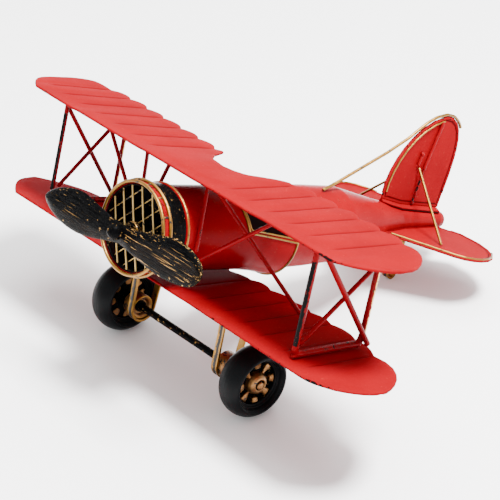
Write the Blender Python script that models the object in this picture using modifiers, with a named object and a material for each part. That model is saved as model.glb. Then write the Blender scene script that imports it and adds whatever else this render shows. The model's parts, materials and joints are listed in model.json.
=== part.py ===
"""Decorative painted-tin model biplane, 300 mm across the wings.

The model is laid out in its own level frame, in millimetres: x to the port side, y towards the
tail, z up, with the origin at the middle of the wheel axle. LEVEL_TO_STAND then pitches it nose
up onto its wheels and tail skid, with the floor at z = 0 and the origin under the middle of the
whole model.
"""
import math

import bmesh
import bpy
from mathutils import Matrix, Vector

MM = 0.001
FIT_GAP = 0.3

# stance
PITCH = math.radians(19.63)
WHEEL_RADIUS = 21.0
STAND_BACK = 79.7
STAND_SIDE = 4.15

# wings
UPPER_LEAD_Y = -45.0
UPPER_LEAD_Z = 102.5
UPPER_INCIDENCE = math.radians(0.4)
UPPER_TWIST = math.radians(2.3)
LOWER_LEAD_Y = -41.5
LOWER_LEAD_Z = 37.6
LOWER_INCIDENCE = math.radians(1.9)
LOWER_TWIST = math.radians(2.9)
WING_SHEET = 1.6
UPPER_BULGE = 4.6
LOWER_BULGE = 2.6
COLUMN_GAP = 0.6

# wing struts
STRUT_X = 111.0
POST_LEAN = math.radians(4.4)
BRACE_RADIUS = 1.15

# fuselage
AXIS_Z = 67.0
SHELL_RADIUS = 23.7
SHELL_WALL = 1.1
SHELL_FRONT_Y = -42.0
SHELL_REAR_Y = 38.5
SHELL_FLARE_RADIUS = 26.8
COCKPIT_FRONT_Y = 4.2
COCKPIT_FRONT_LEAN = 0.35
COCKPIT_SILL_Z = 74.0
COCKPIT_SILL_FALL = 0.13
STERN_Y = 186.8
STERN_ROUND = 7.6

# cowl
FRONT_RING_Y = -62.3
SECOND_RING_Y = -57.8
THIRD_RING_Y = -43.6
GRILLE_Y = -60.6
GRILLE_RADIUS = 23.6
BAR_LEAN = math.radians(25.0)
BAR_OFFSETS = (-14.9, -7.5, 0.0, 8.0, 16.0)
BOSS_RADIUS = 5.4

# propeller
PROP_Y = -70.0
PROP_Z = 65.2
PROP_PITCH = math.radians(5.0)
SHAFT_RADIUS = 2.0

# undercarriage
WHEEL_X = 58.2
TYRE_HALF_WIDTH = 10.5
AXLE_RADIUS = 2.15
DRUM_RADIUS = 7.2
STRIP = 1.2
PORT_LEG_X = 34.8
STARBOARD_LEG_X = -42.0
LEG_WIDTH = 4.6

# tail
BOOM_Z = 71.0
TAILPLANE_Z = 68.0
TAIL_SHEET = 1.2
TAIL_CONTACT_Y = 156.5

LEVEL_TO_STAND = (Matrix.Translation(Vector((-STAND_SIDE, -STAND_BACK, WHEEL_RADIUS)) * MM)
                  @ Matrix.Rotation(-PITCH, 4, "X"))
ALONG_Y = Matrix.Rotation(math.radians(-90.0), 4, "X")
ALONG_X = Matrix.Rotation(math.radians(90.0), 4, "Y")

PAINT = {
    "red_paint": ((0.62, 0.02, 0.02), 0.25, 0.35),
    "worn_black": ((0.015, 0.014, 0.013), 0.6, 0.3),
    "brass": ((0.50, 0.30, 0.11), 0.9, 0.35),
    "bronze": ((0.36, 0.19, 0.08), 0.9, 0.4),
    "rubber": ((0.018, 0.02, 0.022), 0.0, 0.55),
}


def paint(name):
    """The material of this name, made on first use."""
    if name in bpy.data.materials:
        return bpy.data.materials[name]
    colour, metallic, roughness = PAINT[name]
    material = bpy.data.materials.new(name)
    material.use_nodes = True
    shader = material.node_tree.nodes["Principled BSDF"]
    shader.inputs["Base Color"].default_value = (*colour, 1.0)
    shader.inputs["Metallic"].default_value = metallic
    shader.inputs["Roughness"].default_value = roughness
    return material


def smooth_step(value):
    """0 below 0, 1 above 1 and an even S between."""
    value = min(max(value, 0.0), 1.0)
    return value * value * (3.0 - 2.0 * value)


def to_either_side(x):
    """-1 on the starboard wing, +1 on the port wing, changing over the centre section."""
    return math.copysign(smooth_step(abs(x) / 30.0), x)


def upper_z(x, y):
    """Middle of the upper wing's sheet."""
    angle = UPPER_INCIDENCE + UPPER_TWIST * to_either_side(x)
    return UPPER_LEAD_Z + (y - UPPER_LEAD_Y) * math.tan(angle)


def lower_z(x, y):
    """Middle of the lower wing's sheet."""
    angle = LOWER_INCIDENCE + LOWER_TWIST * to_either_side(x)
    return LOWER_LEAD_Z + (y - LOWER_LEAD_Y) * math.tan(angle)


def between(x, points):
    """Straight-line reading of (x, value) points."""
    if x <= points[0][0]:
        return points[0][1]
    for (x0, v0), (x1, v1) in zip(points, points[1:]):
        if x <= x1:
            return v0 + (v1 - v0) * (x - x0) / (x1 - x0)
    return points[-1][1]


def eased(x, rows):
    """Smooth reading of (x, value) rows: a cubic on each span, whose end slopes are the chords
    between the neighbouring rows."""
    rows = [rows[0], *rows, rows[-1]]
    for (xa, va), (x0, v0), (x1, v1), (xb, vb) in zip(rows, rows[1:], rows[2:], rows[3:]):
        if x <= x1:
            step = x1 - x0
            t = (x - x0) / step
            start = (v1 - va) / (x1 - xa) * step
            end = (vb - v0) / (xb - x0) * step
            return (v0 + start * t + (3.0 * (v1 - v0) - 2.0 * start - end) * t ** 2
                    + (2.0 * (v0 - v1) + start + end) * t ** 3)
    return rows[-1][1]


def bow(start, leaving, arriving, end, count=9):
    """Points of a smooth curve (a cubic Bezier) that leaves its start towards the second point
    and reaches its end from the third."""
    points = []
    for k in range(count):
        t = k / (count - 1)
        shares = ((1 - t) ** 3, 3 * t * (1 - t) ** 2, 3 * t * t * (1 - t), t ** 3)
        corners = (start, leaving, arriving, end)
        points.append(tuple(sum(share * corner[axis] for share, corner in zip(shares, corners))
                            for axis in (0, 1)))
    return points


def add(name, mesh, material, matrix, origin=None):
    """Links a mesh as a named object; origin moves its pivot without moving the shape."""
    obj = bpy.data.objects.new(name, mesh)
    obj.data.materials.append(paint(material))
    if origin is not None:
        shift = Matrix.Translation(Vector(origin) * MM)
        mesh.transform(shift.inverted() @ matrix)
        matrix = shift
    obj.matrix_world = matrix
    parts.objects.link(obj)
    return obj


def mesh_of(bm, name):
    bmesh.ops.recalc_face_normals(bm, faces=bm.faces)
    mesh = bpy.data.meshes.new(name)
    bm.to_mesh(mesh)
    bm.free()
    return mesh


def turned_mesh(name, profile, steps):
    """A solid of revolution round local Z from (radius, height) points of its closed outline."""
    bm = bmesh.new()
    ring = [bm.verts.new((radius * MM, 0.0, height * MM)) for radius, height in profile]
    edges = [bm.edges.new((ring[i - 1], ring[i])) for i in range(len(ring))
             if ring[i - 1].co.x > 1e-9 or ring[i].co.x > 1e-9]
    bmesh.ops.spin(bm, geom=ring + edges, axis=(0, 0, 1), cent=(0, 0, 0),
                   angle=math.tau, steps=steps, use_merge=True)
    bmesh.ops.remove_doubles(bm, verts=bm.verts, dist=1e-6)
    bmesh.ops.dissolve_degenerate(bm, edges=bm.edges, dist=1e-7)
    return mesh_of(bm, name)


def turned_y(name, profile, material, centre=(0.0, 0.0, AXIS_Z), steps=48):
    """A turned piece on a fore-and-aft axis, with profile heights measured along y."""
    place = LEVEL_TO_STAND @ Matrix.Translation(Vector(centre) * MM) @ ALONG_Y
    return add(name, turned_mesh(name, profile, steps), material, place)


def turned_x(name, profile, material, centre, steps=48, origin=None):
    """A turned piece on a crosswise axis, with profile heights measured along x."""
    place = LEVEL_TO_STAND @ Matrix.Translation(Vector(centre) * MM) @ ALONG_X
    return add(name, turned_mesh(name, profile, steps), material, place, origin)


def ring_profile(radius, height, section, corners=10):
    """The outline of a round-section ring."""
    return [(radius + section * math.cos(math.tau * k / corners),
             height + section * math.sin(math.tau * k / corners)) for k in range(corners)]


def rod(name, points, radius, material, resolution=2):
    """A round bar through the points, with flat ends."""
    curve = bpy.data.curves.new(name, "CURVE")
    curve.dimensions = "3D"
    curve.bevel_depth = radius * MM
    curve.bevel_resolution = resolution
    curve.use_fill_caps = True
    spline = curve.splines.new("POLY")
    spline.points.add(len(points) - 1)
    for point, place in zip(spline.points, points):
        point.co = (*(Vector(place) * MM), 1.0)
    return add(name, curve, material, LEVEL_TO_STAND)


def plate(name, outline, thickness, material, turn, centre):
    """A flat sheet cut to an outline; turn carries the outline's plane into the model."""
    curve = bpy.data.curves.new(name, "CURVE")
    curve.dimensions = "2D"
    curve.fill_mode = "BOTH"
    curve.extrude = thickness * MM / 2.0
    spline = curve.splines.new("POLY")
    spline.points.add(len(outline) - 1)
    for point, (u, v) in zip(spline.points, outline):
        point.co = (u * MM, v * MM, 0.0, 1.0)
    spline.use_cyclic_u = True
    return add(name, curve, material, LEVEL_TO_STAND @ Matrix.Translation(Vector(centre) * MM) @ turn)


# outline (u, v) -> (y, z) in a plane of constant x
UPRIGHT = Matrix(((0, 0, 1, 0), (1, 0, 0, 0), (0, 1, 0, 0), (0, 0, 0, 1)))
FLAT = Matrix.Identity(4)


def strip_outline(path, thickness):
    """The closed outline of a strip of even thickness that follows a path."""
    sides = ([], [])
    for i, (u, v) in enumerate(path):
        before = Vector(path[max(i - 1, 0)])
        after = Vector(path[min(i + 1, len(path) - 1)])
        along = (after - before).normalized()
        off = Vector((-along.y, along.x)) * thickness / 2.0
        sides[0].append((u + off.x, v + off.y))
        sides[1].append((u - off.x, v - off.y))
    return sides[0] + sides[1][::-1]


def sheet(name, columns, lead, trail, height):
    """A thin wing sheet: a grid between leading and trailing edge, thickened."""
    bm = bmesh.new()
    bmesh.ops.create_grid(bm, x_segments=len(columns) - 1, y_segments=3, size=1.0)
    for vert in bm.verts:
        x = columns[round((vert.co.x + 1.0) / 2.0 * (len(columns) - 1))]
        part = (vert.co.y + 1.0) / 2.0
        y = lead(x) + (trail(x) - lead(x)) * part
        vert.co = Vector((x, y, height(x, y))) * MM
    obj = add(name, mesh_of(bm, name), "red_paint", LEVEL_TO_STAND)
    thicken = obj.modifiers.new("thickness", "SOLIDIFY")
    thicken.thickness = WING_SHEET * MM
    thicken.offset = 0.0


def loft(name, sections, material, matrix, origin=None):
    """A closed skin over rings of equally many points, with flat ends."""
    bm = bmesh.new()
    rings = [[bm.verts.new(Vector(p) * MM) for p in section] for section in sections]
    count = len(rings[0])
    for low, high in zip(rings, rings[1:]):
        for k in range(count):
            bm.faces.new((low[k], low[(k + 1) % count], high[(k + 1) % count], high[k]))
    bm.faces.new(rings[0])
    bm.faces.new(rings[-1])
    return add(name, mesh_of(bm, name), material, matrix, origin)


def join_into(target, cutter_names, operation):
    """Joins or cuts other meshes into the target, and keeps them as hidden helpers."""
    for other in cutter_names:
        change = target.modifiers.new(other.name, "BOOLEAN")
        change.operation = operation
        change.solver = "EXACT"
        change.object = other
        parts.objects.unlink(other)
        helpers.objects.link(other)
        other.hide_render = True
        other.display_type = "WIRE"


# wings

# Edges of each half of the wings as (distance from the centre line, y). A corner is the four
# points of a bow().
CUT_OUT = bow((0.0, -7.0), (15.0, -4.0), (16.0, -2.0), (18.0, 1.4), 6)
UPPER = {
    1: {"lead": bow((131.3, UPPER_LEAD_Y), (144.0, -36.0), (150.0, -22.0), (150.0, -11.5)),
        "horn": CUT_OUT + [(24.0, 9.4), (27.7, 12.9), (30.5, 14.9)],
        "cusps": [(35.8, 14.6), (51.5, 16.2), (67.5, 17.2), (83.7, 17.8), (100.0, 18.4),
                  (117.9, 17.9)],
        "tip": bow((117.9, 17.9), (130.0, 28.0), (150.0, 3.0), (150.0, -10.5))},
    -1: {"lead": bow((127.6, UPPER_LEAD_Y), (148.0, -32.0), (149.0, -28.0), (150.0, 2.5)),
         "horn": CUT_OUT + [(22.0, 5.5), (28.5, 18.2), (30.5, 19.1)],
         "cusps": [(34.0, 15.5), (50.0, 16.5), (66.3, 16.9), (83.3, 17.2), (100.0, 18.0),
                   (115.4, 17.7), (131.1, 15.5)],
         "tip": bow((131.1, 15.5), (148.0, 18.0), (148.0, 15.0), (150.0, 4.5))}}
LOWER_INNER_CUSPS = [(0.0, 19.5), (17.0, 20.0), (34.8, 19.2), (50.9, 21.2), (65.5, 22.4),
                     (82.0, 22.5)]
LOWER = {
    1: {"lead": bow((132.6, LOWER_LEAD_Y), (145.0, -38.0), (158.0, -25.0), (158.4, -12.5)),
        "horn": [],
        "cusps": LOWER_INNER_CUSPS + [(101.5, 22.6), (121.3, 17.9)],
        "tip": bow((121.3, 17.9), (144.0, 25.0), (158.0, -3.0), (158.4, -10.6))},
    -1: {"lead": bow((127.0, LOWER_LEAD_Y), (142.0, -32.0), (149.0, -24.0), (150.1, -14.4)),
         "horn": [],
         "cusps": LOWER_INNER_CUSPS + [(99.0, 21.6), (115.0, 18.8)],
         "tip": bow((115.0, 18.8), (135.0, 20.0), (150.0, -4.0), (150.1, -12.0))}}


def side_of(x):
    """1 for the port half, -1 for the starboard half."""
    return 1 if x >= 0.0 else -1


def scallops(x, cusps, bulge):
    """The bowed trailing edge from cusp to cusp."""
    for (x0, y0), (x1, y1) in zip(cusps, cusps[1:]):
        if x <= x1:
            part = (x - x0) / (x1 - x0)
            return y0 + (y1 - y0) * part + bulge * (1.0 - (2.0 * part - 1.0) ** 2)
    return cusps[-1][1]


def wing_edges(halves, bulge):
    """Leading and trailing edge of a wing as functions of x."""
    def lead(x):
        return between(abs(x), halves[side_of(x)]["lead"])

    def trail(x):
        half, x = halves[side_of(x)], abs(x)
        cusps = half["cusps"]
        if x < cusps[0][0]:
            return between(x, half["horn"] + cusps[:1])
        if x < cusps[-1][0]:
            return scallops(x, cusps, bulge)
        return between(x, half["tip"])
    return lead, trail


def half_columns(half):
    """Where one half of a wing has chordwise lines, so that cusps and corners fall on them."""
    cusps = half["cusps"]
    marks = {0.0, *(x for x, _ in half["lead"] + half["horn"] + cusps + half["tip"])}
    for (x0, _), (x1, _) in zip(cusps, cusps[1:]):
        marks |= {x0 + (x1 - x0) * part for part in (0.12, 0.3, 0.5, 0.7, 0.88)}
    marks = sorted(marks)
    kept = [marks[0]]
    for x in marks[1:-1]:
        if x - kept[-1] > COLUMN_GAP and marks[-1] - x > COLUMN_GAP / 2.0:
            kept.append(x)
    return kept + [marks[-1]]


def make_wings():
    for name, halves, bulge, height in (("upper_wing", UPPER, UPPER_BULGE, upper_z),
                                        ("lower_wing", LOWER, LOWER_BULGE, lower_z)):
        port, starboard = half_columns(halves[1]), half_columns(halves[-1])
        columns = [-x for x in starboard[:0:-1]] + port
        sheet(name, columns, *wing_edges(halves, bulge), height)


# struts and bracing

def under_upper(x, y):
    return upper_z(x, y) - WING_SHEET / 2.0 - FIT_GAP


def over_lower(x, y):
    return lower_z(x, y) + WING_SHEET / 2.0 + FIT_GAP


# Each strut set in its upright plane: foot ends, radii and the two crossing braces as
# (distance outside the plane, y, z) ends.
STRUT_PLANS = {
    "port": {
        "front": -32.3, "rear": 15.6, "post": 1.7, "foot": 1.9,
        "falling": (1.6, [(1.6, -33.3, 100.8), (3.95, 16.9, 47.5)]),
        "rising": (1.3, [(-0.6, -29.1, 47.8), (-0.6, 8.2, 87.4)])},
    "starboard": {
        "front": -28.1, "rear": 19.2, "post": 1.35, "foot": 1.6,
        "falling": (1.3, [(1.6, -28.8, 94.5), (3.5, 20.3, 42.4)]),
        "rising": (1.2, [(-0.6, -24.6, 48.2), (-0.6, 12.7, 95.4)])}}


# (x, y) of each centre strut under the upper wing and at its foot beside the body
CENTRE_STRUTS = {"port": ((21.0, -36.0), (25.3, -36.0)),
                 "starboard": ((19.0, -28.5), (26.0, -31.5))}


def make_struts(side, word):
    """A bent foot bar with two leaning posts on its upturned ends, and crossing braces."""
    x = side * STRUT_X
    plan = STRUT_PLANS[word]
    front, rear, post, foot = (plan[key] for key in ("front", "rear", "post", "foot"))
    low = over_lower(x, front) + foot + 0.15
    high = over_lower(x, rear) + foot + 0.15
    path = [(front - 0.1, low + 4.6), (front, low + 2.3), (front + 1.0, low + 0.6),
            (front + 3.0, low + 0.2), (rear - 4.0, high), (rear - 1.7, high + 0.7),
            (rear - 0.4, high + 2.4), (rear, high + 4.8)]
    rod(f"{word}_strut_foot", [(x, y, z) for y, z in path], foot, "red_paint")
    lean = math.tan(POST_LEAN)
    for name, y, start in (("front", front - 0.12, low + 4.95), ("rear", rear - 0.04, high + 5.15)):
        top = under_upper(x, y - 56.0 * lean) - 0.15
        rod(f"{word}_{name}_strut", [(x, y, start), (x, y - (top - start) * lean, top)], post,
            "red_paint")
    for name in ("falling", "rising"):
        radius, ends = plan[name]
        rod(f"{word}_{name}_brace", [(x + side * out, y, z) for out, y, z in ends], radius,
            "red_paint")


def make_bracing(side, word):
    """Centre struts and the two long braces of one side."""
    (top_x, top_y), (low_x, low_y) = CENTRE_STRUTS[word]
    top = (side * top_x, top_y, under_upper(side * top_x, top_y) - 0.3)
    rod(f"{word}_centre_strut", [top, (side * low_x, low_y, 64.0)], BRACE_RADIUS, "red_paint")
    for name, high, low, floor in (
            ("inner", (73.5, -31.6, 101.0), (26.8, -34.0, 59.0), 53.7),
            ("outer", (30.3, -37.4, 101.0), (75.5, 10.9, 41.0), None)):
        high, low = Vector(high), Vector(low)
        along = (low - high) / (high.z - low.z)
        top = under_upper(side * high.x, high.y) - 0.9
        if floor is None:
            floor = over_lower(side * low.x, low.y) + 0.9
        ends = [high + along * (high.z - z) for z in (top, floor)]
        rod(f"{word}_{name}_brace", [(side * p.x, p.y, p.z) for p in ends], BRACE_RADIUS,
            "red_paint")


# fuselage

def boom_radius(y):
    """Outer radius of the rear body, from the cockpit bulkhead to the stern."""
    return between(y, [(36.0, 25.0), (38.3, 25.35), (42.0, 24.4), (50.0, 23.8), (62.0, 23.6),
                       (88.0, 22.2), (116.0, 15.2), (144.0, 8.4), (181.0, 5.8)])


def boom_height(y):
    """Centre line of the rear body."""
    return between(y, [(38.3, 67.0), (62.0, 67.8), (88.0, 68.6), (144.0, 70.6), (190.0, 70.8)])


def make_fuselage():
    outer = [(SHELL_RADIUS, SHELL_FRONT_Y), (SHELL_RADIUS, 14.0), (24.8, 26.0),
             (SHELL_FLARE_RADIUS, SHELL_REAR_Y)]
    inner = [(radius - SHELL_WALL, y) for radius, y in reversed(outer)]
    shell = turned_y("fuselage_shell", outer + inner, "red_paint", steps=64)
    cutter = bpy.data.meshes.new("cockpit_opening")
    bm = bmesh.new()
    bmesh.ops.create_cube(bm, size=1.0)
    long, high, half = SHELL_REAR_Y + 12.0 - COCKPIT_FRONT_Y, 40.0, SHELL_FLARE_RADIUS + 8.0
    for vert in bm.verts:
        back, up = vert.co.y + 0.5, vert.co.z + 0.5
        y = COCKPIT_FRONT_Y + back * long - (1.0 - back) * up * high * COCKPIT_FRONT_LEAN
        z = COCKPIT_SILL_Z + up * high - back * long * COCKPIT_SILL_FALL
        vert.co = Vector((math.copysign(half, vert.co.x), y, z)) * MM
    bm.to_mesh(cutter)
    bm.free()
    opening = add("cockpit_opening", cutter, "red_paint", LEVEL_TO_STAND)
    join_into(shell, [opening], "DIFFERENCE")

    sections = []
    round_y = STERN_Y - STERN_ROUND
    stations = [36.0, 38.3, 42.0, 50.0, 62.0, 88.0, 102.0, 116.0, 130.0, 144.0, 162.0, round_y,
                round_y + 4.0, round_y + 6.6, STERN_Y - 0.1]
    for y in stations:
        into_round = max(y - round_y, 0.0) / STERN_ROUND
        radius = boom_radius(y) * math.sqrt(1.0 - into_round ** 2)
        sections.append([(radius * math.cos(math.tau * k / 40), y,
                          boom_height(y) + radius * math.sin(math.tau * k / 40))
                         for k in range(40)])
    loft("rear_fuselage", sections, "red_paint", LEVEL_TO_STAND)


def make_cowl():
    turned_y("cowl_front_ring", ring_profile(25.6, FRONT_RING_Y, 1.0), "brass")
    turned_y("cowl_second_ring", ring_profile(26.3, SECOND_RING_Y, 1.1), "brass")
    turned_y("cowl_band", [(25.9, -59.2), (25.9, -60.9), (24.7, -60.9), (24.7, -59.2)],
             "red_paint")
    drum = [(24.9, -44.9), (24.9, -56.4), (23.4, -56.4), (23.4, -52.0), (0.0, -52.0),
            (0.0, -44.9)]
    turned_y("cowl_drum", drum, "worn_black")
    turned_y("cowl_rear_ring", ring_profile(24.6, THIRD_RING_Y, 1.0), "brass")


def guard_bars():
    """Ends of the leaning bars in the grille's plane. A bar through the boss stops in its wall."""
    along = Vector((-math.sin(BAR_LEAN), math.cos(BAR_LEAN)))
    across = Vector((along.y, -along.x))
    boss = Vector((0.0, PROP_Z - AXIS_Z))
    for offset in BAR_OFFSETS:
        reach = math.sqrt(GRILLE_RADIUS ** 2 - offset ** 2)
        past = abs(offset - boss.dot(across))
        if past > BOSS_RADIUS:
            spans = ((-reach, reach),)
        else:
            stop = math.sqrt((BOSS_RADIUS - 1.2) ** 2 - past ** 2)
            spans = ((-reach, boss.dot(along) - stop), (boss.dot(along) + stop, reach))
        for ends in spans:
            yield [across * offset + along * end for end in ends]


def make_grille():
    """Wire guard in the front ring: a rim, leaning bars and a bearing boss."""
    rim = turned_y("grille", ring_profile(GRILLE_RADIUS, GRILLE_Y, 0.7, 8), "brass")
    bore = SHAFT_RADIUS + 0.4
    back, front = GRILLE_Y + 1.2, GRILLE_Y - 2.4
    boss = turned_y("grille_boss", [(BOSS_RADIUS, back), (BOSS_RADIUS, front), (bore, front),
                                    (bore, back)], "brass", (0.0, 0.0, PROP_Z), 32)
    join_into(rim, [boss], "UNION")
    for number, ends in enumerate(guard_bars()):
        name = f"guard_bar_{number}"
        curve = rod(name, [(end.x, GRILLE_Y, AXIS_Z + end.y) for end in ends], 0.6, "brass",
                    resolution=1)
        bpy.context.view_layer.update()
        mesh = bpy.data.meshes.new_from_object(
            curve.evaluated_get(bpy.context.evaluated_depsgraph_get()))
        bm = bmesh.new()
        bm.from_mesh(mesh)
        bmesh.ops.remove_doubles(bm, verts=bm.verts, dist=1e-7)
        bpy.data.objects.remove(curve)
        bar = add(name, mesh_of(bm, name + "_mesh"), "brass", LEVEL_TO_STAND)
        join_into(rim, [bar], "UNION")


# propeller

# (x, height) along the lower edge, front ridge and upper edge of both blades, from the shaft
BLADE_LOW = [(-65.4, -7.2), (-64.2, -9.0), (-61.0, -10.9), (-54.5, -13.4), (-45.5, -15.1),
             (-31.0, -14.7), (-15.0, -11.0), (0.0, -6.8), (14.0, -8.2), (34.0, -10.3),
             (50.0, -9.0), (62.0, -5.9), (66.4, -2.6), (68.0, 1.4)]
BLADE_RIDGE = [(-65.4, -5.6), (-54.5, -7.2), (-31.0, -6.1), (-15.0, -5.2), (0.0, -1.2),
               (14.0, -2.6), (34.0, 1.4), (68.0, 4.2)]
BLADE_HIGH = [(-65.4, -4.0), (-64.2, -2.4), (-61.0, 0.4), (-54.5, 3.9), (-38.0, 8.3),
              (-23.0, 6.6), (-7.0, 4.4), (7.0, 4.6), (22.0, 8.3), (43.0, 13.4), (57.0, 12.9),
              (66.4, 8.9), (68.0, 5.6)]
BLADE_SECTIONS = 23


def blade_section(x):
    """The blades cut at x: round the front by the ridge, and flat behind. Both thicken to the
    hub, and the whole is pitched opposite ways on the two blades."""
    low, ridge, high = (eased(x, edge) for edge in (BLADE_LOW, BLADE_RIDGE, BLADE_HIGH))
    full = math.sqrt(min((high - low) / 13.0, 1.0))
    front = -(2.2 + math.exp(-(x / 16.0) ** 2)) * full
    back = (1.5 + 2.2 * math.exp(-(x / 9.0) ** 2)) * full
    slope = math.tan(PROP_PITCH * min(max(-x / 18.0, -1.0), 1.0))
    ring = []
    for share, depth in ((0.0, 0.0), (0.06, 0.45), (0.5, 0.9), (1.0, 1.0)):
        ring.append((high + (ridge - high) * share, depth * front))
    for share, depth in ((0.5, 0.75), (0.92, 0.4), (1.0, 0.0)):
        ring.append((ridge + (low - ridge) * share, depth * front))
    for share, depth in ((0.05, 0.6), (0.25, 1.0), (0.75, 1.0), (0.95, 0.6)):
        ring.append((low + (high - low) * share, depth * back))
    middle = (low + high) / 2.0
    return [(x, y + (z - middle) * slope, z) for z, y in ring]


def make_propeller():
    """Two carved blades with a ridge along the front, a dome nut and a short shaft."""
    place = LEVEL_TO_STAND @ Matrix.Translation(Vector((0.0, PROP_Y, PROP_Z)) * MM)
    pivot = place.translation / MM
    tips = BLADE_LOW[0][0], BLADE_LOW[-1][0]
    stations = [(tips[0] + tips[1]) / 2.0
                - (tips[1] - tips[0]) / 2.0 * math.cos(math.pi * k / (BLADE_SECTIONS - 1))
                for k in range(BLADE_SECTIONS)]
    loft("propeller_blades", [blade_section(x) for x in stations], "worn_black", place, pivot)
    nut = [(0.0, -8.4), (3.4, -7.6), (4.4, -6.0), (4.4, -4.4), (3.6, -3.8), (0.0, -3.8)]
    shaft = [(0.0, 14.5), (SHAFT_RADIUS, 14.5), (SHAFT_RADIUS, 4.2), (0.0, 4.2)]
    along = place @ ALONG_Y
    for name, profile, material in (("propeller_nut", nut, "worn_black"),
                                    ("propeller_shaft", shaft, "bronze")):
        add(name, turned_mesh(name, profile, 24), material, along, pivot)


# undercarriage

def half_turn(y, z, radius):
    """The lower half of a circle, from its front to its rear."""
    angles = [math.pi + math.pi * k / 12 for k in range(13)]
    return [(y + radius * math.cos(a), z + radius * math.sin(a)) for a in angles]


def wing_underside(x, y):
    return lower_z(x, y) - WING_SHEET / 2.0 - 0.5


def make_undercarriage():
    rod("axle", [(-56.4, 0, 0), (56.4, 0, 0)], AXLE_RADIUS, "worn_black", resolution=3)
    bore = AXLE_RADIUS + FIT_GAP
    for word, side, leg_x in (("port", 1, PORT_LEG_X), ("starboard", -1, STARBOARD_LEG_X)):
        inner = abs(leg_x) - 0.8
        outer = 49.9
        drum = [(DRUM_RADIUS, outer), (DRUM_RADIUS, inner), (bore, inner), (bore, outer)]
        drum = [(radius, side * x) for radius, x in drum]
        turned_x(f"{word}_axle_drum", drum, "bronze", (0, 0, 0), steps=32)
        front, rear = -11.5, 8.6
        path = [(front, wing_underside(leg_x, front)),
                *half_turn(0.0, 0.0, DRUM_RADIUS + FIT_GAP + STRIP / 2.0),
                (rear, wing_underside(leg_x, rear))]
        plate(f"{word}_axle_leg", strip_outline(path, STRIP), LEG_WIDTH, "brass", UPRIGHT,
              (leg_x, 0, 0))


def make_wheel(word, side):
    centre = (side * WHEEL_X, 0.0, 0.0)
    pivot = (side * WHEEL_X - STAND_SIDE, -STAND_BACK, WHEEL_RADIUS)
    crown = 0.45 * WHEEL_RADIUS
    bead = 14.4
    tread = [(WHEEL_RADIUS - crown + crown * math.sin(math.pi * k / 12),
              TYRE_HALF_WIDTH * math.cos(math.pi * k / 12)) for k in range(1, 12)]
    shoulder = [(12.6, 7.0), (13.8, 9.2), (bead, TYRE_HALF_WIDTH - 0.4)]
    profile = shoulder + tread + [(radius, -x) for radius, x in reversed(shoulder)]
    turned_x(f"{word}_tyre", profile, "rubber", centre, 60, pivot)
    bore = AXLE_RADIUS + 0.35
    hub = [(0.0, 9.4), (2.6, 9.0), (4.6, 7.6), (5.4, 5.2), (6.0, 4.0), (12.2, 4.0), (12.2, -6.0),
           (7.0, -7.9), (bore, -7.9), (bore, -1.4), (0.0, -1.4)]
    if side < 0:
        hub = [(radius, -x) for radius, x in hub]
    turned_x(f"{word}_wheel_hub", hub, "bronze", centre, 48, pivot)


# tail

FIN_TOP = (163.5, 137.3)
FIN = (bow((126.2, 88.5), (125.0, 105.0), (137.0, 131.0), FIN_TOP)
       + bow(FIN_TOP, (181.0, 137.0), (182.0, 116.0), (179.4, 92.0))[1:])
FIN_STAY = [(5.5, 69.5, 91.9), (4.0, 78.8, 94.7), (2.4, 99.6, 104.5), (1.0, 119.0, 113.6),
            (0.0, 135.6, 123.0), (0.0, 141.5, 128.0), (0.0, 148.3, 133.4), (0.0, 155.0, 136.9),
            (0.0, 163.3, 138.8), (0.0, 170.3, 137.8), (0.0, 175.8, 134.3), (0.0, 178.9, 130.2)]
# (distance from the centre line, y) from the front root round the tip to the rear root
TAILPLANE_EDGES = {
    "port": [(16.5, 124.0), *bow((51.1, 146.5), (63.5, 156.0), (64.5, 182.0), (34.0, 186.6)),
             (18.7, 186.0)],
    "starboard": [(16.5, 117.5), *bow((56.7, 143.5), (68.0, 152.0), (74.0, 172.0), (48.8, 179.4)),
                  (30.0, 182.5)]}


def make_tail():
    low = [(y, boom_top(y) + 0.35) for y in (127.0, 144.0, 177.5)]
    base = low + [(y, z + 1.3) for y, z in reversed(low)]
    foot = [(178.5, low[2][1] + 1.6), (144.0, low[1][1] + 1.6), (126.8, low[0][1] + 1.7)]
    plate("fin", FIN + foot, TAIL_SHEET, "red_paint", UPRIGHT, (0, 0, 0))
    plate("fin_base", base, 8.0, "red_paint", UPRIGHT, (0, 0, 0))
    for word, side in (("port", 1), ("starboard", -1)):
        edge = TAILPLANE_EDGES[word]
        root = [(boom_radius(y) + 0.5, y) for y in (178.0, 158.0, 144.0, 130.0, edge[0][1])]
        outline = [(side * x, y) for x, y in edge + root]
        plate(f"{word}_tailplane", outline, TAIL_SHEET, "red_paint", FLAT, (0, 0, TAILPLANE_Z))
    rod("rudder_post", [(1.8, 152.9, 80.8), (1.8, 154.7, 104.0), (1.8, 159.9, 133.6)], 0.8,
        "red_paint")
    for word, side, foot in (("port", 1, 34.5), ("starboard", -1, 39.5)):
        low = TAILPLANE_Z + TAIL_SHEET / 2.0 + 1.2
        rod(f"{word}_tail_stay", [(side * 1.9, 150.0, 104.6), (side * foot, 150.0, low)], 0.9,
            "brass")
    rod("fin_stay", FIN_STAY, 0.8, "brass")


def boom_top(y):
    return boom_height(y) + boom_radius(y)


def make_skid():
    """Brass loop under the stern; its lowest point touches the floor."""
    bend = 2.9
    reach = bend + STRIP / 2.0
    stand = Vector((0.0, TAIL_CONTACT_Y - STAND_BACK, reach)) * MM
    centre = (LEVEL_TO_STAND.inverted() @ stand) / MM
    top = boom_height(centre.y) - boom_radius(centre.y) - 0.4
    path = [(centre.y - bend, top), *half_turn(centre.y, centre.z, bend),
            (centre.y + bend, top)]
    plate("tail_skid", strip_outline(path, STRIP), 5.0, "brass", UPRIGHT, (0, 0, 0))


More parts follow.
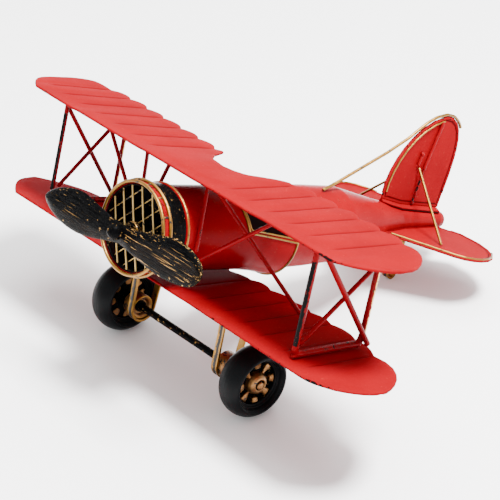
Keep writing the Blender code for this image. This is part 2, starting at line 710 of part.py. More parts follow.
for old in list(bpy.data.objects):
    bpy.data.objects.remove(old)
parts = bpy.data.collections.new("model_biplane")
bpy.context.scene.collection.children.link(parts)
helpers = bpy.data.collections.new("helpers")
helpers.hide_render = True
bpy.context.scene.collection.children.link(helpers)

make_wings()
for word, side in (("port", 1), ("starboard", -1)):
    make_struts(side, word)
    make_bracing(side, word)
    make_wheel(word, side)
make_fuselage()
make_cowl()
make_grille()
make_propeller()
make_undercarriage()
make_tail()
make_skid()
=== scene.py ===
"""Finishes and fine shapes of the painted sheet-metal model biplane.

Every piece is worked out in the model's own level frame, in millimetres: x to the port side, y
towards the tail, z up, with the origin at the middle of the wheel axle. on_stand() then puts it
on its wheels and skid, in metres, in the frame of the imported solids. Most outlines, rod ends
and radii are read from those solids. The wheels' recess, the nut, the grille and the hinge rod
have sizes of their own, given where they are built.
"""

import json
import math

import bmesh
import bpy
import numpy as np
from mathutils import Matrix, Vector


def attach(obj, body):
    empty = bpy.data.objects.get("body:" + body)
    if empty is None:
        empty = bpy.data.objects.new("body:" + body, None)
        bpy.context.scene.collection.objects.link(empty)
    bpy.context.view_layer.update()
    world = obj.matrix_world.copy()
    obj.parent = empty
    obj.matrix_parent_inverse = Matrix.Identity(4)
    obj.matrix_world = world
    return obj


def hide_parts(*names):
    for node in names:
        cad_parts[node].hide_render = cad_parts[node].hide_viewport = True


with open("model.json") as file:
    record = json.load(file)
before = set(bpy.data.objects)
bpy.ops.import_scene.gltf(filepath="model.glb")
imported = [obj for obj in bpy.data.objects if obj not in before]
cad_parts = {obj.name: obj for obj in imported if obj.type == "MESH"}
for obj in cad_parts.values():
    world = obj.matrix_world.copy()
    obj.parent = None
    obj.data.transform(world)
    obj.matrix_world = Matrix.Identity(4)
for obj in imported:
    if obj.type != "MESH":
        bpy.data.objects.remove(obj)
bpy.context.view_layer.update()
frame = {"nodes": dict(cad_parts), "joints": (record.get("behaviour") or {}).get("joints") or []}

bl_info = {
    "name": "Model biplane finishes",
    "version": (1, 0, 0),
    "blender": (4, 5, 0),
    "location": "3D View > Sidebar > Biplane",
    "description": "Builds the fine surfaces and painted finishes of a sheet-metal model biplane",
    "category": "Object",
}

# frame of the solids
MM = 0.001
JOINTS = {joint["name"]: joint for joint in frame["joints"]}
PORT_HUB = np.array(JOINTS["port_wheel_spin"]["pos_m"])
STARBOARD_HUB = np.array(JOINTS["starboard_wheel_spin"]["pos_m"])
AXLE_MIDDLE = (PORT_HUB + STARBOARD_HUB) / 2.0
SHAFT = np.array(JOINTS["propeller_spin"]["axis"])
PITCH = math.atan2(SHAFT[2], -SHAFT[1])
LEVEL_AXES = np.array([[1.0, 0.0, 0.0],
                       [0.0, math.cos(PITCH), -math.sin(PITCH)],
                       [0.0, math.sin(PITCH), math.cos(PITCH)]])

# body of the model, in millimetres
AXIS_Z = 67.0
SILL_Z = 74.0
SILL_FALL = 0.13
COCKPIT_FRONT_Y = 4.2
COCKPIT_LEAN = 0.35
TAIL_SHEET = 1.2
SKID_BEND = 2.9
SKID_SHEET = 1.2
SIDES = (("port", 1), ("starboard", -1))


def on_stand(points):
    """Level-frame millimetres to row-frame metres: turn nose up by the pitch, then shift."""
    return AXLE_MIDDLE + (np.asarray(points, float) * MM) @ LEVEL_AXES


def off_stand(points):
    """Row-frame metres to level-frame millimetres."""
    return (np.asarray(points, float) - AXLE_MIDDLE) @ LEVEL_AXES.T / MM


PROP_CENTRE = off_stand(JOINTS["propeller_spin"]["pos_m"])
WHEEL_X = off_stand(PORT_HUB)[0]


# Measuring the solids

def corners_of(node):
    """The solid's vertices in the level frame."""
    mesh = frame["nodes"][node].data
    points = np.empty(len(mesh.vertices) * 3, np.float32)
    mesh.vertices.foreach_get("co", points)
    return off_stand(points.reshape(-1, 3))


def edges_of(node):
    """Both ends of every edge of the solid, in the level frame."""
    mesh = frame["nodes"][node].data
    ends = np.empty(len(mesh.edges) * 2, np.int32)
    mesh.edges.foreach_get("vertices", ends)
    points = corners_of(node)
    ends = ends.reshape(-1, 2)
    return points[ends[:, 0]], points[ends[:, 1]]


def slices(node, axis, places):
    """Where the solid's edges cross each plane of constant x (axis 0) or y (axis 1)."""
    start, end = edges_of(node)
    found = []
    for place in places:
        before = start[:, axis] - place
        after = end[:, axis] - place
        cross = before * after < 0
        share = before[cross] / (before[cross] - after[cross])
        found.append(start[cross] + (end[cross] - start[cross]) * share[:, None])
    return found


def rod_of(node):
    """(one end, other end, radius) of a straight round solid: its long axis, and the largest
    distance of its vertices from that axis. The higher end comes first."""
    points = corners_of(node)
    middle = (points.max(0) + points.min(0)) / 2.0
    _, _, axes = np.linalg.svd(points - points.mean(0), full_matrices=False)
    along = (points - middle) @ axes[0]
    flat = points - middle - along[:, None] * axes[0]
    middle = middle + flat.mean(0)
    radius = np.linalg.norm(flat - flat.mean(0), axis=1).max()
    ends = [middle + axes[0] * along.min(), middle + axes[0] * along.max()]
    high, low = sorted(ends, key=lambda end: -end[2])
    return high, low, radius


# Surfaces

def smooth(value):
    """The even S from 0 to 1, as arrays."""
    value = np.clip(value, 0.0, 1.0)
    return value * value * (3.0 - 2.0 * value)


def unit(vectors):
    """Each vector at length one; a vector of no length stays as it is."""
    return vectors / np.maximum(np.linalg.norm(vectors, axis=-1, keepdims=True), 1e-12)


def curve_through(points, count):
    """Catmull-Rom curve through the points: on each span a cubic whose end slopes are half the
    chord between the neighbours, then resampled to even steps."""
    points = np.asarray(points, float)
    padded = np.vstack([2 * points[0] - points[1], points, 2 * points[-1] - points[-2]])
    t = np.linspace(0.0, 1.0, 17)[:-1, None]
    spans = [0.5 * ((2 * b) + (c - a) * t + (2 * a - 5 * b + 4 * c - d) * t ** 2
                    + (3 * b - a - 3 * c + d) * t ** 3)
             for a, b, c, d in zip(padded, padded[1:], padded[2:], padded[3:])]
    line = np.vstack([*spans, points[-1:]])
    length = np.concatenate([[0.0], np.cumsum(np.linalg.norm(np.diff(line, axis=0), axis=1))])
    even = np.linspace(0.0, length[-1], count)
    return np.stack([np.interp(even, length, part) for part in line.T], axis=1)


def straight(start, end, count):
    """Evenly spaced points from start to end."""
    return np.linspace(np.asarray(start, float), np.asarray(end, float), count)


def skin(points, along=False, wear=0.0, gild=0.0, soot=0.0, lay=None):
    """A closed surface over rings of points, shaped (rings, points, 3). along joins the last
    ring to the first; without it, a fan closes each end ring at its middle."""
    points = np.asarray(points, float)
    rings, count = points.shape[:2]
    index = np.arange(rings * count).reshape(rings, count)
    low = index if along else index[:-1]
    high = np.roll(index, -1, axis=0) if along else index[1:]
    quads = np.stack([low, np.roll(low, -1, 1), np.roll(high, -1, 1), high], axis=-1)
    verts = points.reshape(-1, 3)
    # the third value is painted shade in creases and on undersides, and on the blades a dark wash
    values = {key: np.broadcast_to(value, (rings, count)).reshape(-1)
              for key, value in (("wear", wear), ("gild", gild), ("soot", soot))}
    lay = verts if lay is None else np.asarray(lay, float).reshape(-1, 3)
    fans = np.empty((0, 3), int)
    if not along:
        for ring in (index[0], index[-1]):
            pole = len(verts)
            verts = np.vstack([verts, verts[ring].mean(0)])
            lay = np.vstack([lay, lay[ring].mean(0)])
            values = {key: np.append(kept, kept[ring].mean()) for key, kept in values.items()}
            fan = np.stack([ring, np.roll(ring, -1), np.full(count, pole)], axis=-1)
            fans = np.vstack([fans, fan])
    return {"verts": verts, "quads": quads.reshape(-1, 4), "fans": fans, "lay": lay, **values}


def tube(path, radius, sides, wear=0.0, gild=0.0, soot=0.0):
    """A round bar along a path: at each path point a circle in the plane square to the path,
    its start direction carried along without twist. Ends are rounded by shrinking the last
    rings along a quarter circle. wear, gild and the painted shade value may be functions of
    (length, side direction)."""
    path = np.asarray(path, float)
    radius = np.broadcast_to(np.asarray(radius, float), (len(path),)).copy()
    lead = unit(path[0] - path[1])
    tail = unit(path[-1] - path[-2])
    steps = np.array([0.0, 0.35, 0.75])
    shrink = np.array([0.55, 0.85, 0.97])
    first = path[0] + lead * radius[0] * 0.45 * (1.0 - steps)[:, None]
    last = path[-1] + tail * radius[-1] * 0.45 * (1.0 - steps[::-1])[:, None]
    path = np.vstack([first, path, last])
    radius = np.concatenate([radius[0] * shrink, radius, radius[-1] * shrink[::-1]])
    ahead = unit(np.gradient(path, axis=0))
    across = np.cross(ahead[0], [0.31, 0.17, 0.93])
    if np.linalg.norm(across) < 0.1:
        across = np.cross(ahead[0], [1.0, 0.0, 0.0])
    frames = []
    for direction in ahead:
        across = across - direction * (across @ direction)
        across = across / np.linalg.norm(across)
        frames.append(across)
    first = np.array(frames)
    second = np.cross(ahead, first)
    turn = np.linspace(0.0, math.tau, sides, endpoint=False)
    side = (np.cos(turn)[None, :, None] * first[:, None]
            + np.sin(turn)[None, :, None] * second[:, None])
    points = path[:, None] + side * radius[:, None, None]
    length = np.concatenate([[0.0], np.cumsum(np.linalg.norm(np.diff(path, axis=0), axis=1))])
    lay = np.stack([np.broadcast_to(length[:, None], points.shape[:2]),
                    radius[:, None] * np.cos(turn), radius[:, None] * np.sin(turn)], axis=-1)
    lay = lay + np.array([0.0, *path[0][:2]])
    shade = length[:, None] + 0.0 * turn
    wear, gild, soot = (value(shade, side) if callable(value) else value
                        for value in (wear, gild, soot))
    return skin(points, wear=wear, gild=gild, soot=soot, lay=lay)


def lathe(profile, axis, centre, steps, wear=0.0, closed=False):
    """A turned surface: each (radius, height) of the profile swept round the axis 'x' or 'y'
    through the centre. closed joins the profile's ends, as on a ring or a tube with a bore."""
    profile = np.asarray(profile, float)
    turn = np.linspace(0.0, math.tau, steps, endpoint=False)
    radius, height = profile[:, 0, None], profile[:, 1, None]
    first, second, third = radius * np.cos(turn), radius * np.sin(turn), height + 0.0 * turn
    ring = (first, third, second) if axis == "y" else (third, first, second)
    return skin(np.stack(ring, axis=-1) + np.asarray(centre, float), along=closed, wear=wear)


def ring_profile(radius, height, section):
    """A small circle at this radius and height, to sweep into a wire ring."""
    turn = np.linspace(0.0, math.tau, 16, endpoint=False)
    return np.stack([radius + section * np.cos(turn), height + section * np.sin(turn)], axis=1)


def rounded(profile, radius):
    """The profile with each corner cut by a short arc: a quadratic curve from a point before
    the corner to a point after it, pulled towards the corner."""
    profile = np.asarray(profile, float)
    kept = [profile[:1]]
    for before, corner, after in zip(profile, profile[1:], profile[2:]):
        back, on = before - corner, after - corner
        reach = min(radius, np.linalg.norm(back) * 0.45, np.linalg.norm(on) * 0.45)
        start, end = corner + unit(back) * reach, corner + unit(on) * reach
        t = np.linspace(0.0, 1.0, 4)[:, None]
        kept.append((1 - t) ** 2 * start + 2 * t * (1 - t) * corner + t ** 2 * end)
    kept.append(profile[-1:])
    return np.vstack(kept)


def blob(centre, radii, phase):
    """A lump of solder: a ball of the given half sizes whose surface swells by slow waves of
    the angles, shifted by the phase."""
    turn = np.linspace(0.0, math.tau, 20, endpoint=False)
    tilt = np.linspace(0.08, math.pi - 0.08, 10)[:, None]
    swell = 1.0 + 0.07 * np.sin(3 * turn + phase) * np.sin(2 * tilt)
    swell = swell + 0.05 * np.cos(2 * turn - phase)
    ball = np.stack([np.sin(tilt) * np.cos(turn), np.sin(tilt) * np.sin(turn),
                     np.cos(tilt) + 0.0 * turn], axis=-1)
    points = np.asarray(centre, float) + ball * swell[..., None] * np.asarray(radii, float)
    return skin(points)


def make(name, shapes, paint, body, stands_for, sharp=40.0, inner=None):
    """One object from several closed surfaces, with the per-point values that finishes read:
    lay (unbent place in millimetres), wear (how far paint has gone), gild (gold wash) and the
    painted shade value (painted shade in creases, inside rolled edges and on the undersides of
    wires; on the blades a dark wash that holds back the gold streaks). inner is a second finish
    and the test that picks its faces by their level-frame middles and normals."""
    start = np.cumsum([0] + [len(shape["verts"]) for shape in shapes])
    verts = on_stand(np.vstack([shape["verts"] for shape in shapes]))
    quads = np.vstack([shape["quads"] + first for shape, first in zip(shapes, start)])
    fans = np.vstack([shape["fans"] + first for shape, first in zip(shapes, start)])
    mesh = bpy.data.meshes.new(name)
    mesh.from_pydata(verts.tolist(), [], quads.tolist() + fans.tolist())
    lay = mesh.attributes.new("lay", "FLOAT_VECTOR", "POINT")
    lay.data.foreach_set("vector", np.vstack([s["lay"] for s in shapes]).ravel())
    for key in ("wear", "gild", "soot"):
        values = np.concatenate([shape[key] for shape in shapes])
        mesh.attributes.new(key, "FLOAT", "POINT").data.foreach_set("value", values)
    work = bmesh.new()
    work.from_mesh(mesh)
    bmesh.ops.remove_doubles(work, verts=work.verts, dist=2e-6)
    bmesh.ops.recalc_face_normals(work, faces=work.faces)
    work.to_mesh(mesh)
    work.free()
    mesh.shade_smooth()
    mesh.set_sharp_from_angle(angle=math.radians(sharp))
    piece = bpy.data.objects.new(name, mesh)
    bpy.context.scene.collection.objects.link(piece)
    mesh.materials.append(paint)
    if inner:
        mesh.materials.append(inner[0])
        middles = off_stand(np.array([face.center for face in mesh.polygons]))
        normals = np.array([face.normal for face in mesh.polygons]) @ LEVEL_AXES.T
        mesh.polygons.foreach_set("material_index", inner[1](middles, normals).astype(np.int32))
    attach(piece, body)
    if stands_for:
        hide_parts(*stands_for)


# Shader building

def node(tree, kind, values=None, **settings):
    """Adds a shader node; values are its inputs, either numbers or sockets to link."""
    made = tree.nodes.new(kind)
    for key, value in settings.items():
        setattr(made, key, value)
    for key, value in (values or {}).items():
        if isinstance(value, bpy.types.NodeSocket):
            tree.links.new(value, made.inputs[key])
        else:
            made.inputs[key].default_value = value
    return made


def blend_colour(tree, share, first, second):
    """Colour between two, by share."""
    return node(tree, "ShaderNodeMix", {0: share, 6: first, 7: second}, data_type="RGBA").outputs[2]


def sums(tree, how, *values):
    """A math node on numbers or sockets."""
    return node(tree, "ShaderNodeMath", dict(enumerate(values)), operation=how).outputs[0]


def ramp(tree, value, low, high, to_low=0.0, to_high=1.0):
    """Smooth change of a value from low to high."""
    made = node(tree, "ShaderNodeMapRange", {0: value, 1: low, 2: high, 3: to_low, 4: to_high},
                interpolation_type="SMOOTHSTEP")
    return made.outputs[0]


def attribute(tree, name, output):
    """A value that make() stored on the points."""
    return node(tree, "ShaderNodeAttribute", attribute_name=name).outputs[output]


def stretched(tree, vector, scale):
    """The vector times a scale on each axis."""
    return node(tree, "ShaderNodeVectorMath", {0: vector, 1: scale}, operation="MULTIPLY").outputs[0]


def group(name, inputs, outputs):
    """A new shader group with its input and output nodes."""
    tree = bpy.data.node_groups.new(name, "ShaderNodeTree")
    for label, kind, default in inputs:
        socket = tree.interface.new_socket(label, in_out="INPUT", socket_type=kind)
        if default is not None:
            socket.default_value = default
    for label, kind in outputs:
        tree.interface.new_socket(label, in_out="OUTPUT", socket_type=kind)
    return tree, tree.nodes.new("NodeGroupInput").outputs, tree.nodes.new("NodeGroupOutput").inputs


def use(tree, made, values):
    """Places a group in a tree and gives its outputs."""
    return node(tree, "ShaderNodeGroup", values, node_tree=made).outputs


def chips_group():
    """Paint chips: where coarse and fine noise together fall below the wear value the paint is
    gone, and a thin band around each chip is its bright rim."""
    tree, given, out = group("chipped_paint", [
        ("Place", "NodeSocketVector", None), ("Wear", "NodeSocketFloat", 0.0),
        ("Size", "NodeSocketFloat", 0.4)],
        [("Chip", "NodeSocketFloat"), ("Rim", "NodeSocketFloat")])
    coarse = node(tree, "ShaderNodeTexNoise", {"Vector": given["Place"], "Scale": given["Size"],
                                               "Detail": 3.0, "Roughness": 0.6}).outputs[0]
    spread = ramp(tree, coarse, 0.25, 0.75)
    level = sums(tree, "SUBTRACT", given["Wear"], spread)
    tree.links.new(ramp(tree, level, -0.01, 0.03), out["Chip"])
    rim = sums(tree, "MULTIPLY", ramp(tree, level, -0.09, -0.02),
               sums(tree, "SUBTRACT", 1.0, ramp(tree, level, -0.01, 0.03)))
    tree.links.new(rim, out["Rim"])
    return tree


def mottle_group():
    """Uneven colour: slow noise darkens and lightens, finer noise adds thin dust spots."""
    tree, given, out = group("mottled_colour", [
        ("Place", "NodeSocketVector", None), ("Colour", "NodeSocketColor", (1, 1, 1, 1)),
        ("Deep", "NodeSocketColor", (0, 0, 0, 1)), ("Size", "NodeSocketFloat", 0.05),
        ("Amount", "NodeSocketFloat", 0.3)],
        [("Colour", "NodeSocketColor"), ("Grain", "NodeSocketFloat")])
    slow = node(tree, "ShaderNodeTexNoise", {"Vector": given["Place"], "Scale": given["Size"],
                                             "Detail": 4.0}).outputs[0]
    fine = node(tree, "ShaderNodeTexNoise", {
        "Vector": given["Place"], "Scale": sums(tree, "MULTIPLY", given["Size"], 16.0),
        "Detail": 2.0}).outputs[0]
    both = sums(tree, "ADD", sums(tree, "MULTIPLY", ramp(tree, slow, 0.3, 0.7), 0.75),
                sums(tree, "MULTIPLY", ramp(tree, fine, 0.3, 0.7), 0.25))
    share = sums(tree, "MULTIPLY", both, given["Amount"])
    tree.links.new(blend_colour(tree, share, given["Colour"], given["Deep"]), out["Colour"])
    tree.links.new(fine, out["Grain"])
    return tree


def streaks_group():
    """Dry-brush marks: noise drawn out along the first axis of the lay and cut at a level, so
    thin broken lines of metal show on the paint."""
    tree, given, out = group("brush_streaks", [
        ("Place", "NodeSocketVector", None), ("Along", "NodeSocketFloat", 0.05),
        ("Across", "NodeSocketFloat", 1.2), ("Level", "NodeSocketFloat", 0.6)],
        [("Streak", "NodeSocketFloat")])
    scale = node(tree, "ShaderNodeCombineXYZ", {0: given["Along"], 1: given["Across"],
                                                2: given["Across"]}).outputs[0]
    place = stretched(tree, given["Place"], scale)
    fine = node(tree, "ShaderNodeTexNoise", {"Vector": place, "Scale": 1.0, "Detail": 2.5,
                                             "Roughness": 0.55}).outputs[0]
    top = sums(tree, "ADD", given["Level"], 0.05)
    tree.links.new(ramp(tree, fine, given["Level"], top), out["Streak"])
    return tree


GROUPS = {}
BARE_GOLD = (0.50, 0.28, 0.09, 1.0)


def shared(name, builder):
    """The shared group of this name, built on first use."""
    if name not in GROUPS:
        GROUPS[name] = builder()
    return GROUPS[name]


def base_material(name, values):
    """A material with a Principled shader set to plain values; returns both."""
    made = bpy.data.materials.new(name)
    made.use_nodes = True
    shader = made.node_tree.nodes["Principled BSDF"]
    for key, value in values.items():
        shader.inputs[key].default_value = value
    return made, made.node_tree, shader


def lay_of(tree):
    """The unbent place on the surface, in millimetres."""
    return attribute(tree, "lay", "Vector")


def bump_to(tree, shader, height, distance):
    """Feeds a height to the shader's normal."""
    made = node(tree, "ShaderNodeBump", {"Strength": 1.0, "Distance": distance,
                                         "Height": height})
    tree.links.new(made.outputs[0], shader.inputs["Normal"])


def red_enamel(name, colour, deep, roughness, gloss):
    """Red paint on sheet metal: mottled colour, black chips with a warm bright rim where worn,
    gold showing instead where gilded, a slightly uneven gloss, and painted shade that darkens
    it towards a very deep red in creases, inside rolled edges, at the fin's foot and on the
    lower hinge wire."""
    made, tree, shader = base_material(name, {"Specular IOR Level": gloss})
    lay = lay_of(tree)
    wear = attribute(tree, "wear", "Fac")
    gild = attribute(tree, "gild", "Fac")
    mottled = use(tree, shared("mottle", mottle_group), {
        "Place": lay, "Colour": (*colour, 1.0), "Deep": (*deep, 1.0), "Size": 0.045,
        "Amount": 0.45})
    chips = use(tree, shared("chips", chips_group), {"Place": lay, "Wear": wear, "Size": 0.45})
    under = blend_colour(tree, gild, (0.003, 0.003, 0.003, 1.0), BARE_GOLD)
    rimmed = blend_colour(tree, sums(tree, "MULTIPLY", chips["Rim"], 0.35), mottled["Colour"],
                          (0.30, 0.03, 0.02, 1.0))
    # painted shade: the paint is darkened towards a tenth of the deep red by the shade value
    shade_darkened = blend_colour(tree, attribute(tree, "soot", "Fac"), rimmed,
                          (*[c * 0.10 for c in deep], 1.0))
    tree.links.new(blend_colour(tree, chips["Chip"], shade_darkened, under), shader.inputs["Base Color"])
    metal = sums(tree, "MULTIPLY", chips["Chip"], gild)
    tree.links.new(metal, shader.inputs["Metallic"])
    rough = sums(tree, "ADD", roughness - 0.04,
                 sums(tree, "MULTIPLY", mottled["Grain"], 0.10))
    tree.links.new(rough, shader.inputs["Roughness"])
    height = sums(tree, "SUBTRACT", sums(tree, "MULTIPLY", mottled["Grain"], 0.15),
                  chips["Chip"])
    bump_to(tree, shader, height, 0.00012)
    return made


def black_enamel(name, level, roughness):
    """Black paint dry-brushed with gold: thin streaks along the lay that the dark wash value
    holds back, a brown bronze wash where gilded, and bare gold on worn edges."""
    made, tree, shader = base_material(name, {"Specular IOR Level": 0.02})
    lay = lay_of(tree)
    wear = attribute(tree, "wear", "Fac")
    gild = attribute(tree, "gild", "Fac")
    soot = attribute(tree, "soot", "Fac")
    mottled = use(tree, shared("mottle", mottle_group), {
        "Place": lay, "Colour": (0.001, 0.0011, 0.0013, 1.0), "Deep": (0.0004, 0.0004, 0.0004, 1.0),
        "Size": 0.12, "Amount": 0.8})
    cut = sums(tree, "ADD", level, sums(tree, "MULTIPLY", soot, 0.08))
    streaks = use(tree, shared("streaks", streaks_group), {
        "Place": lay, "Along": 0.03, "Across": 2.3, "Level": cut})
    fine = use(tree, shared("streaks", streaks_group), {
        "Place": lay, "Along": 0.06, "Across": 3.0, "Level": 0.5})
    chips = use(tree, shared("chips", chips_group), {"Place": lay, "Wear": wear, "Size": 0.5})
    washed = blend_colour(tree, sums(tree, "MULTIPLY", gild, fine["Streak"]), mottled["Colour"],
                          (0.006, 0.003, 0.0012, 1.0))
    metal = sums(tree, "MAXIMUM", streaks["Streak"], chips["Chip"])
    tree.links.new(blend_colour(tree, metal, washed, BARE_GOLD),
                   shader.inputs["Base Color"])
    tree.links.new(sums(tree, "MULTIPLY", metal, 0.8), shader.inputs["Metallic"])
    tree.links.new(sums(tree, "ADD", roughness, sums(tree, "MULTIPLY", mottled["Grain"], 0.12)),
                   shader.inputs["Roughness"])
    bump_to(tree, shader, sums(tree, "ADD", fine["Streak"], mottled["Grain"]), 0.00005)
    return made


def gilt(name, colour, dark, dirt=0.5, roughness=0.28):
    """Gold lacquer on wire: metal mottled with brown, with dark spots where worn, and painted shade
    that darkens the underside to deep brown.
    """
    made, tree, shader = base_material(name, {"Coat Weight": 0.2, "Coat Roughness": 0.25})
    lay = lay_of(tree)
    wear = attribute(tree, "wear", "Fac")
    mottled = use(tree, shared("mottle", mottle_group), {
        "Place": lay, "Colour": (*colour, 1.0), "Deep": (*dark, 1.0), "Size": 0.16,
        "Amount": dirt})
    chips = use(tree, shared("chips", chips_group), {"Place": lay, "Wear": wear, "Size": 0.4})
    # painted shade: the gold is darkened towards deep brown where the shade value is set, on wire
    # undersides
    shaded = blend_colour(tree, attribute(tree, "soot", "Fac"), mottled["Colour"],
                          (*[c * 0.12 for c in colour], 1.0))
    tree.links.new(blend_colour(tree, chips["Chip"], shaded, (0.004, 0.003, 0.0025, 1.0)),
                   shader.inputs["Base Color"])
    tree.links.new(sums(tree, "SUBTRACT", 1.0, sums(tree, "MULTIPLY", chips["Chip"], 0.6)),
                   shader.inputs["Metallic"])
    tree.links.new(sums(tree, "ADD", roughness, sums(tree, "MULTIPLY", mottled["Grain"], 0.2)),
                   shader.inputs["Roughness"])
    bump_to(tree, shader, mottled["Grain"], 0.00010)
    return made


def rubber_black(name, colour):
    """Tyre: dark rubber with uneven shade and a fine grain."""
    made, tree, shader = base_material(name, {"Specular IOR Level": 0.06})
    lay = lay_of(tree)
    mottled = use(tree, shared("mottle", mottle_group), {
        "Place": lay, "Colour": (*colour, 1.0), "Deep": (0.003, 0.0035, 0.0043, 1.0),
        "Size": 0.10, "Amount": 0.6})
    tree.links.new(mottled["Colour"], shader.inputs["Base Color"])
    tree.links.new(sums(tree, "ADD", 0.30, sums(tree, "MULTIPLY", mottled["Grain"], 0.2)),
                   shader.inputs["Roughness"])
    bump_to(tree, shader, mottled["Grain"], 0.00010)
    return made


def dark_inside(name):
    """The unlit inside of the body: dull black with a trace of red."""
    made, tree, shader = base_material(name, {"Specular IOR Level": 0.02})
    mottled = use(tree, shared("mottle", mottle_group), {
        "Place": lay_of(tree), "Colour": (0.004, 0.003, 0.003, 1.0),
        "Deep": (0.02, 0.002, 0.002, 1.0), "Size": 0.2, "Amount": 0.5})
    tree.links.new(mottled["Colour"], shader.inputs["Base Color"])
    tree.links.new(sums(tree, "ADD", 0.6, sums(tree, "MULTIPLY", mottled["Grain"], 0.3)),
                   shader.inputs["Roughness"])
    return made


FINISHES = {}


def finish(name):
    """The finish of this name, built on first use from the colours in the panel."""
    colours = bpy.context.scene.biplane_colours
    red, gold = tuple(colours.red), tuple(colours.gold)
    bronze, rubber = tuple(colours.bronze), tuple(colours.rubber)
    builders = {
        "red_sheet": lambda: red_enamel("red_sheet", red, [c * 0.62 for c in red], 0.5, 0.01),
        "red_body": lambda: red_enamel("red_body", red, [c * 0.5 for c in red], 0.24, 0.015),
        "red_rod": lambda: red_enamel("red_rod", red, [c * 0.35 for c in red], 0.25, 0.04),
        "black_blade": lambda: black_enamel("black_blade", 0.605, 0.2),
        "black_gloss": lambda: black_enamel("black_gloss", 0.72, 0.16),
        "gold_wire": lambda: gilt("gold_wire", gold, [c * 0.4 for c in gold]),
        "bar_wire": lambda: gilt("bar_wire", [c ** 0.5 for c in gold], gold),
        "thin_wire": lambda: gilt("thin_wire", [c ** 0.6 for c in gold], [c * 0.2 for c in gold]),
        "bronze_cast": lambda: gilt("bronze_cast", bronze, [c * 0.3 for c in bronze], 0.7, 0.34),
        "tyre_rubber": lambda: rubber_black("tyre_rubber", rubber),
        "dark_inside": lambda: dark_inside("dark_inside"),
    }
    if name not in FINISHES:
        FINISHES[name] = builders[name]()
    return FINISHES[name]


# Properties

class BiplaneSizes(bpy.types.PropertyGroup):
    """Sizes of the fine forms."""
    crease_depth: bpy.props.FloatProperty(
        name="Crease depth", description="How deep the pressed lines in the wings are",
        default=0.00035, min=0.0, max=0.001, unit="LENGTH")
    crease_width: bpy.props.FloatProperty(
        name="Crease width", description="Half width of each pressed line",
        default=0.0007, min=0.0002, max=0.002, unit="LENGTH")
    sheet_thickness: bpy.props.FloatProperty(
        name="Sheet thickness", description="Thickness of the wing sheets",
        default=0.0014, min=0.0006, max=0.0016, unit="LENGTH")
    trim_wire: bpy.props.FloatProperty(
        name="Trim wire", description="Radius of the gold wire on the cockpit and tail edges",
        default=0.00055, min=0.0003, max=0.001, unit="LENGTH")
    grille_wire: bpy.props.FloatProperty(
        name="Grille wire", description="Radius of the stouter grille bars",
        default=0.00055, min=0.0003, max=0.001, unit="LENGTH")
    spokes: bpy.props.IntProperty(
        name="Wheel lugs", description="Cast lugs round each wheel centre",
        default=8, min=5, max=12)


class BiplaneColours(bpy.types.PropertyGroup):
    """Paint and metal colours."""
    red: bpy.props.FloatVectorProperty(
        name="Red paint", description="Enamel on the sheet metal", subtype="COLOR",
        size=3, min=0.0, max=1.0, default=(0.19, 0.0005, 0.0035))
    gold: bpy.props.FloatVectorProperty(
        name="Gold wire", description="Lacquered wire and rings", subtype="COLOR",
        size=3, min=0.0, max=1.0, default=(0.30, 0.145, 0.022))
    bronze: bpy.props.FloatVectorProperty(
        name="Bronze", description="Cast wheel centres and axle drums", subtype="COLOR",
        size=3, min=0.0, max=1.0, default=(0.30, 0.14, 0.045))
    rubber: bpy.props.FloatVectorProperty(
        name="Rubber", description="Tyres", subtype="COLOR",
        size=3, min=0.0, max=1.0, default=(0.002, 0.0022, 0.0025))


class BiplaneStage(bpy.types.PropertyGroup):
    """Floor, lights and camera."""
    floor: bpy.props.FloatVectorProperty(
        name="Floor", description="Colour of the floor", subtype="COLOR",
        size=3, min=0.0, max=1.0, default=(0.93, 0.93, 0.93))
    key_power: bpy.props.FloatProperty(
        name="Key light", description="Power of the small strong light overhead, to port",
        default=108.0, min=0.0, unit="POWER")
    top_power: bpy.props.FloatProperty(
        name="Top light", description="Power of the wide soft light overhead",
        default=40.0, min=0.0, unit="POWER")
    lens: bpy.props.FloatProperty(
        name="Lens", description="Focal length of the camera in millimetres",
        default=164.7, min=20.0, max=400.0)


# Wings

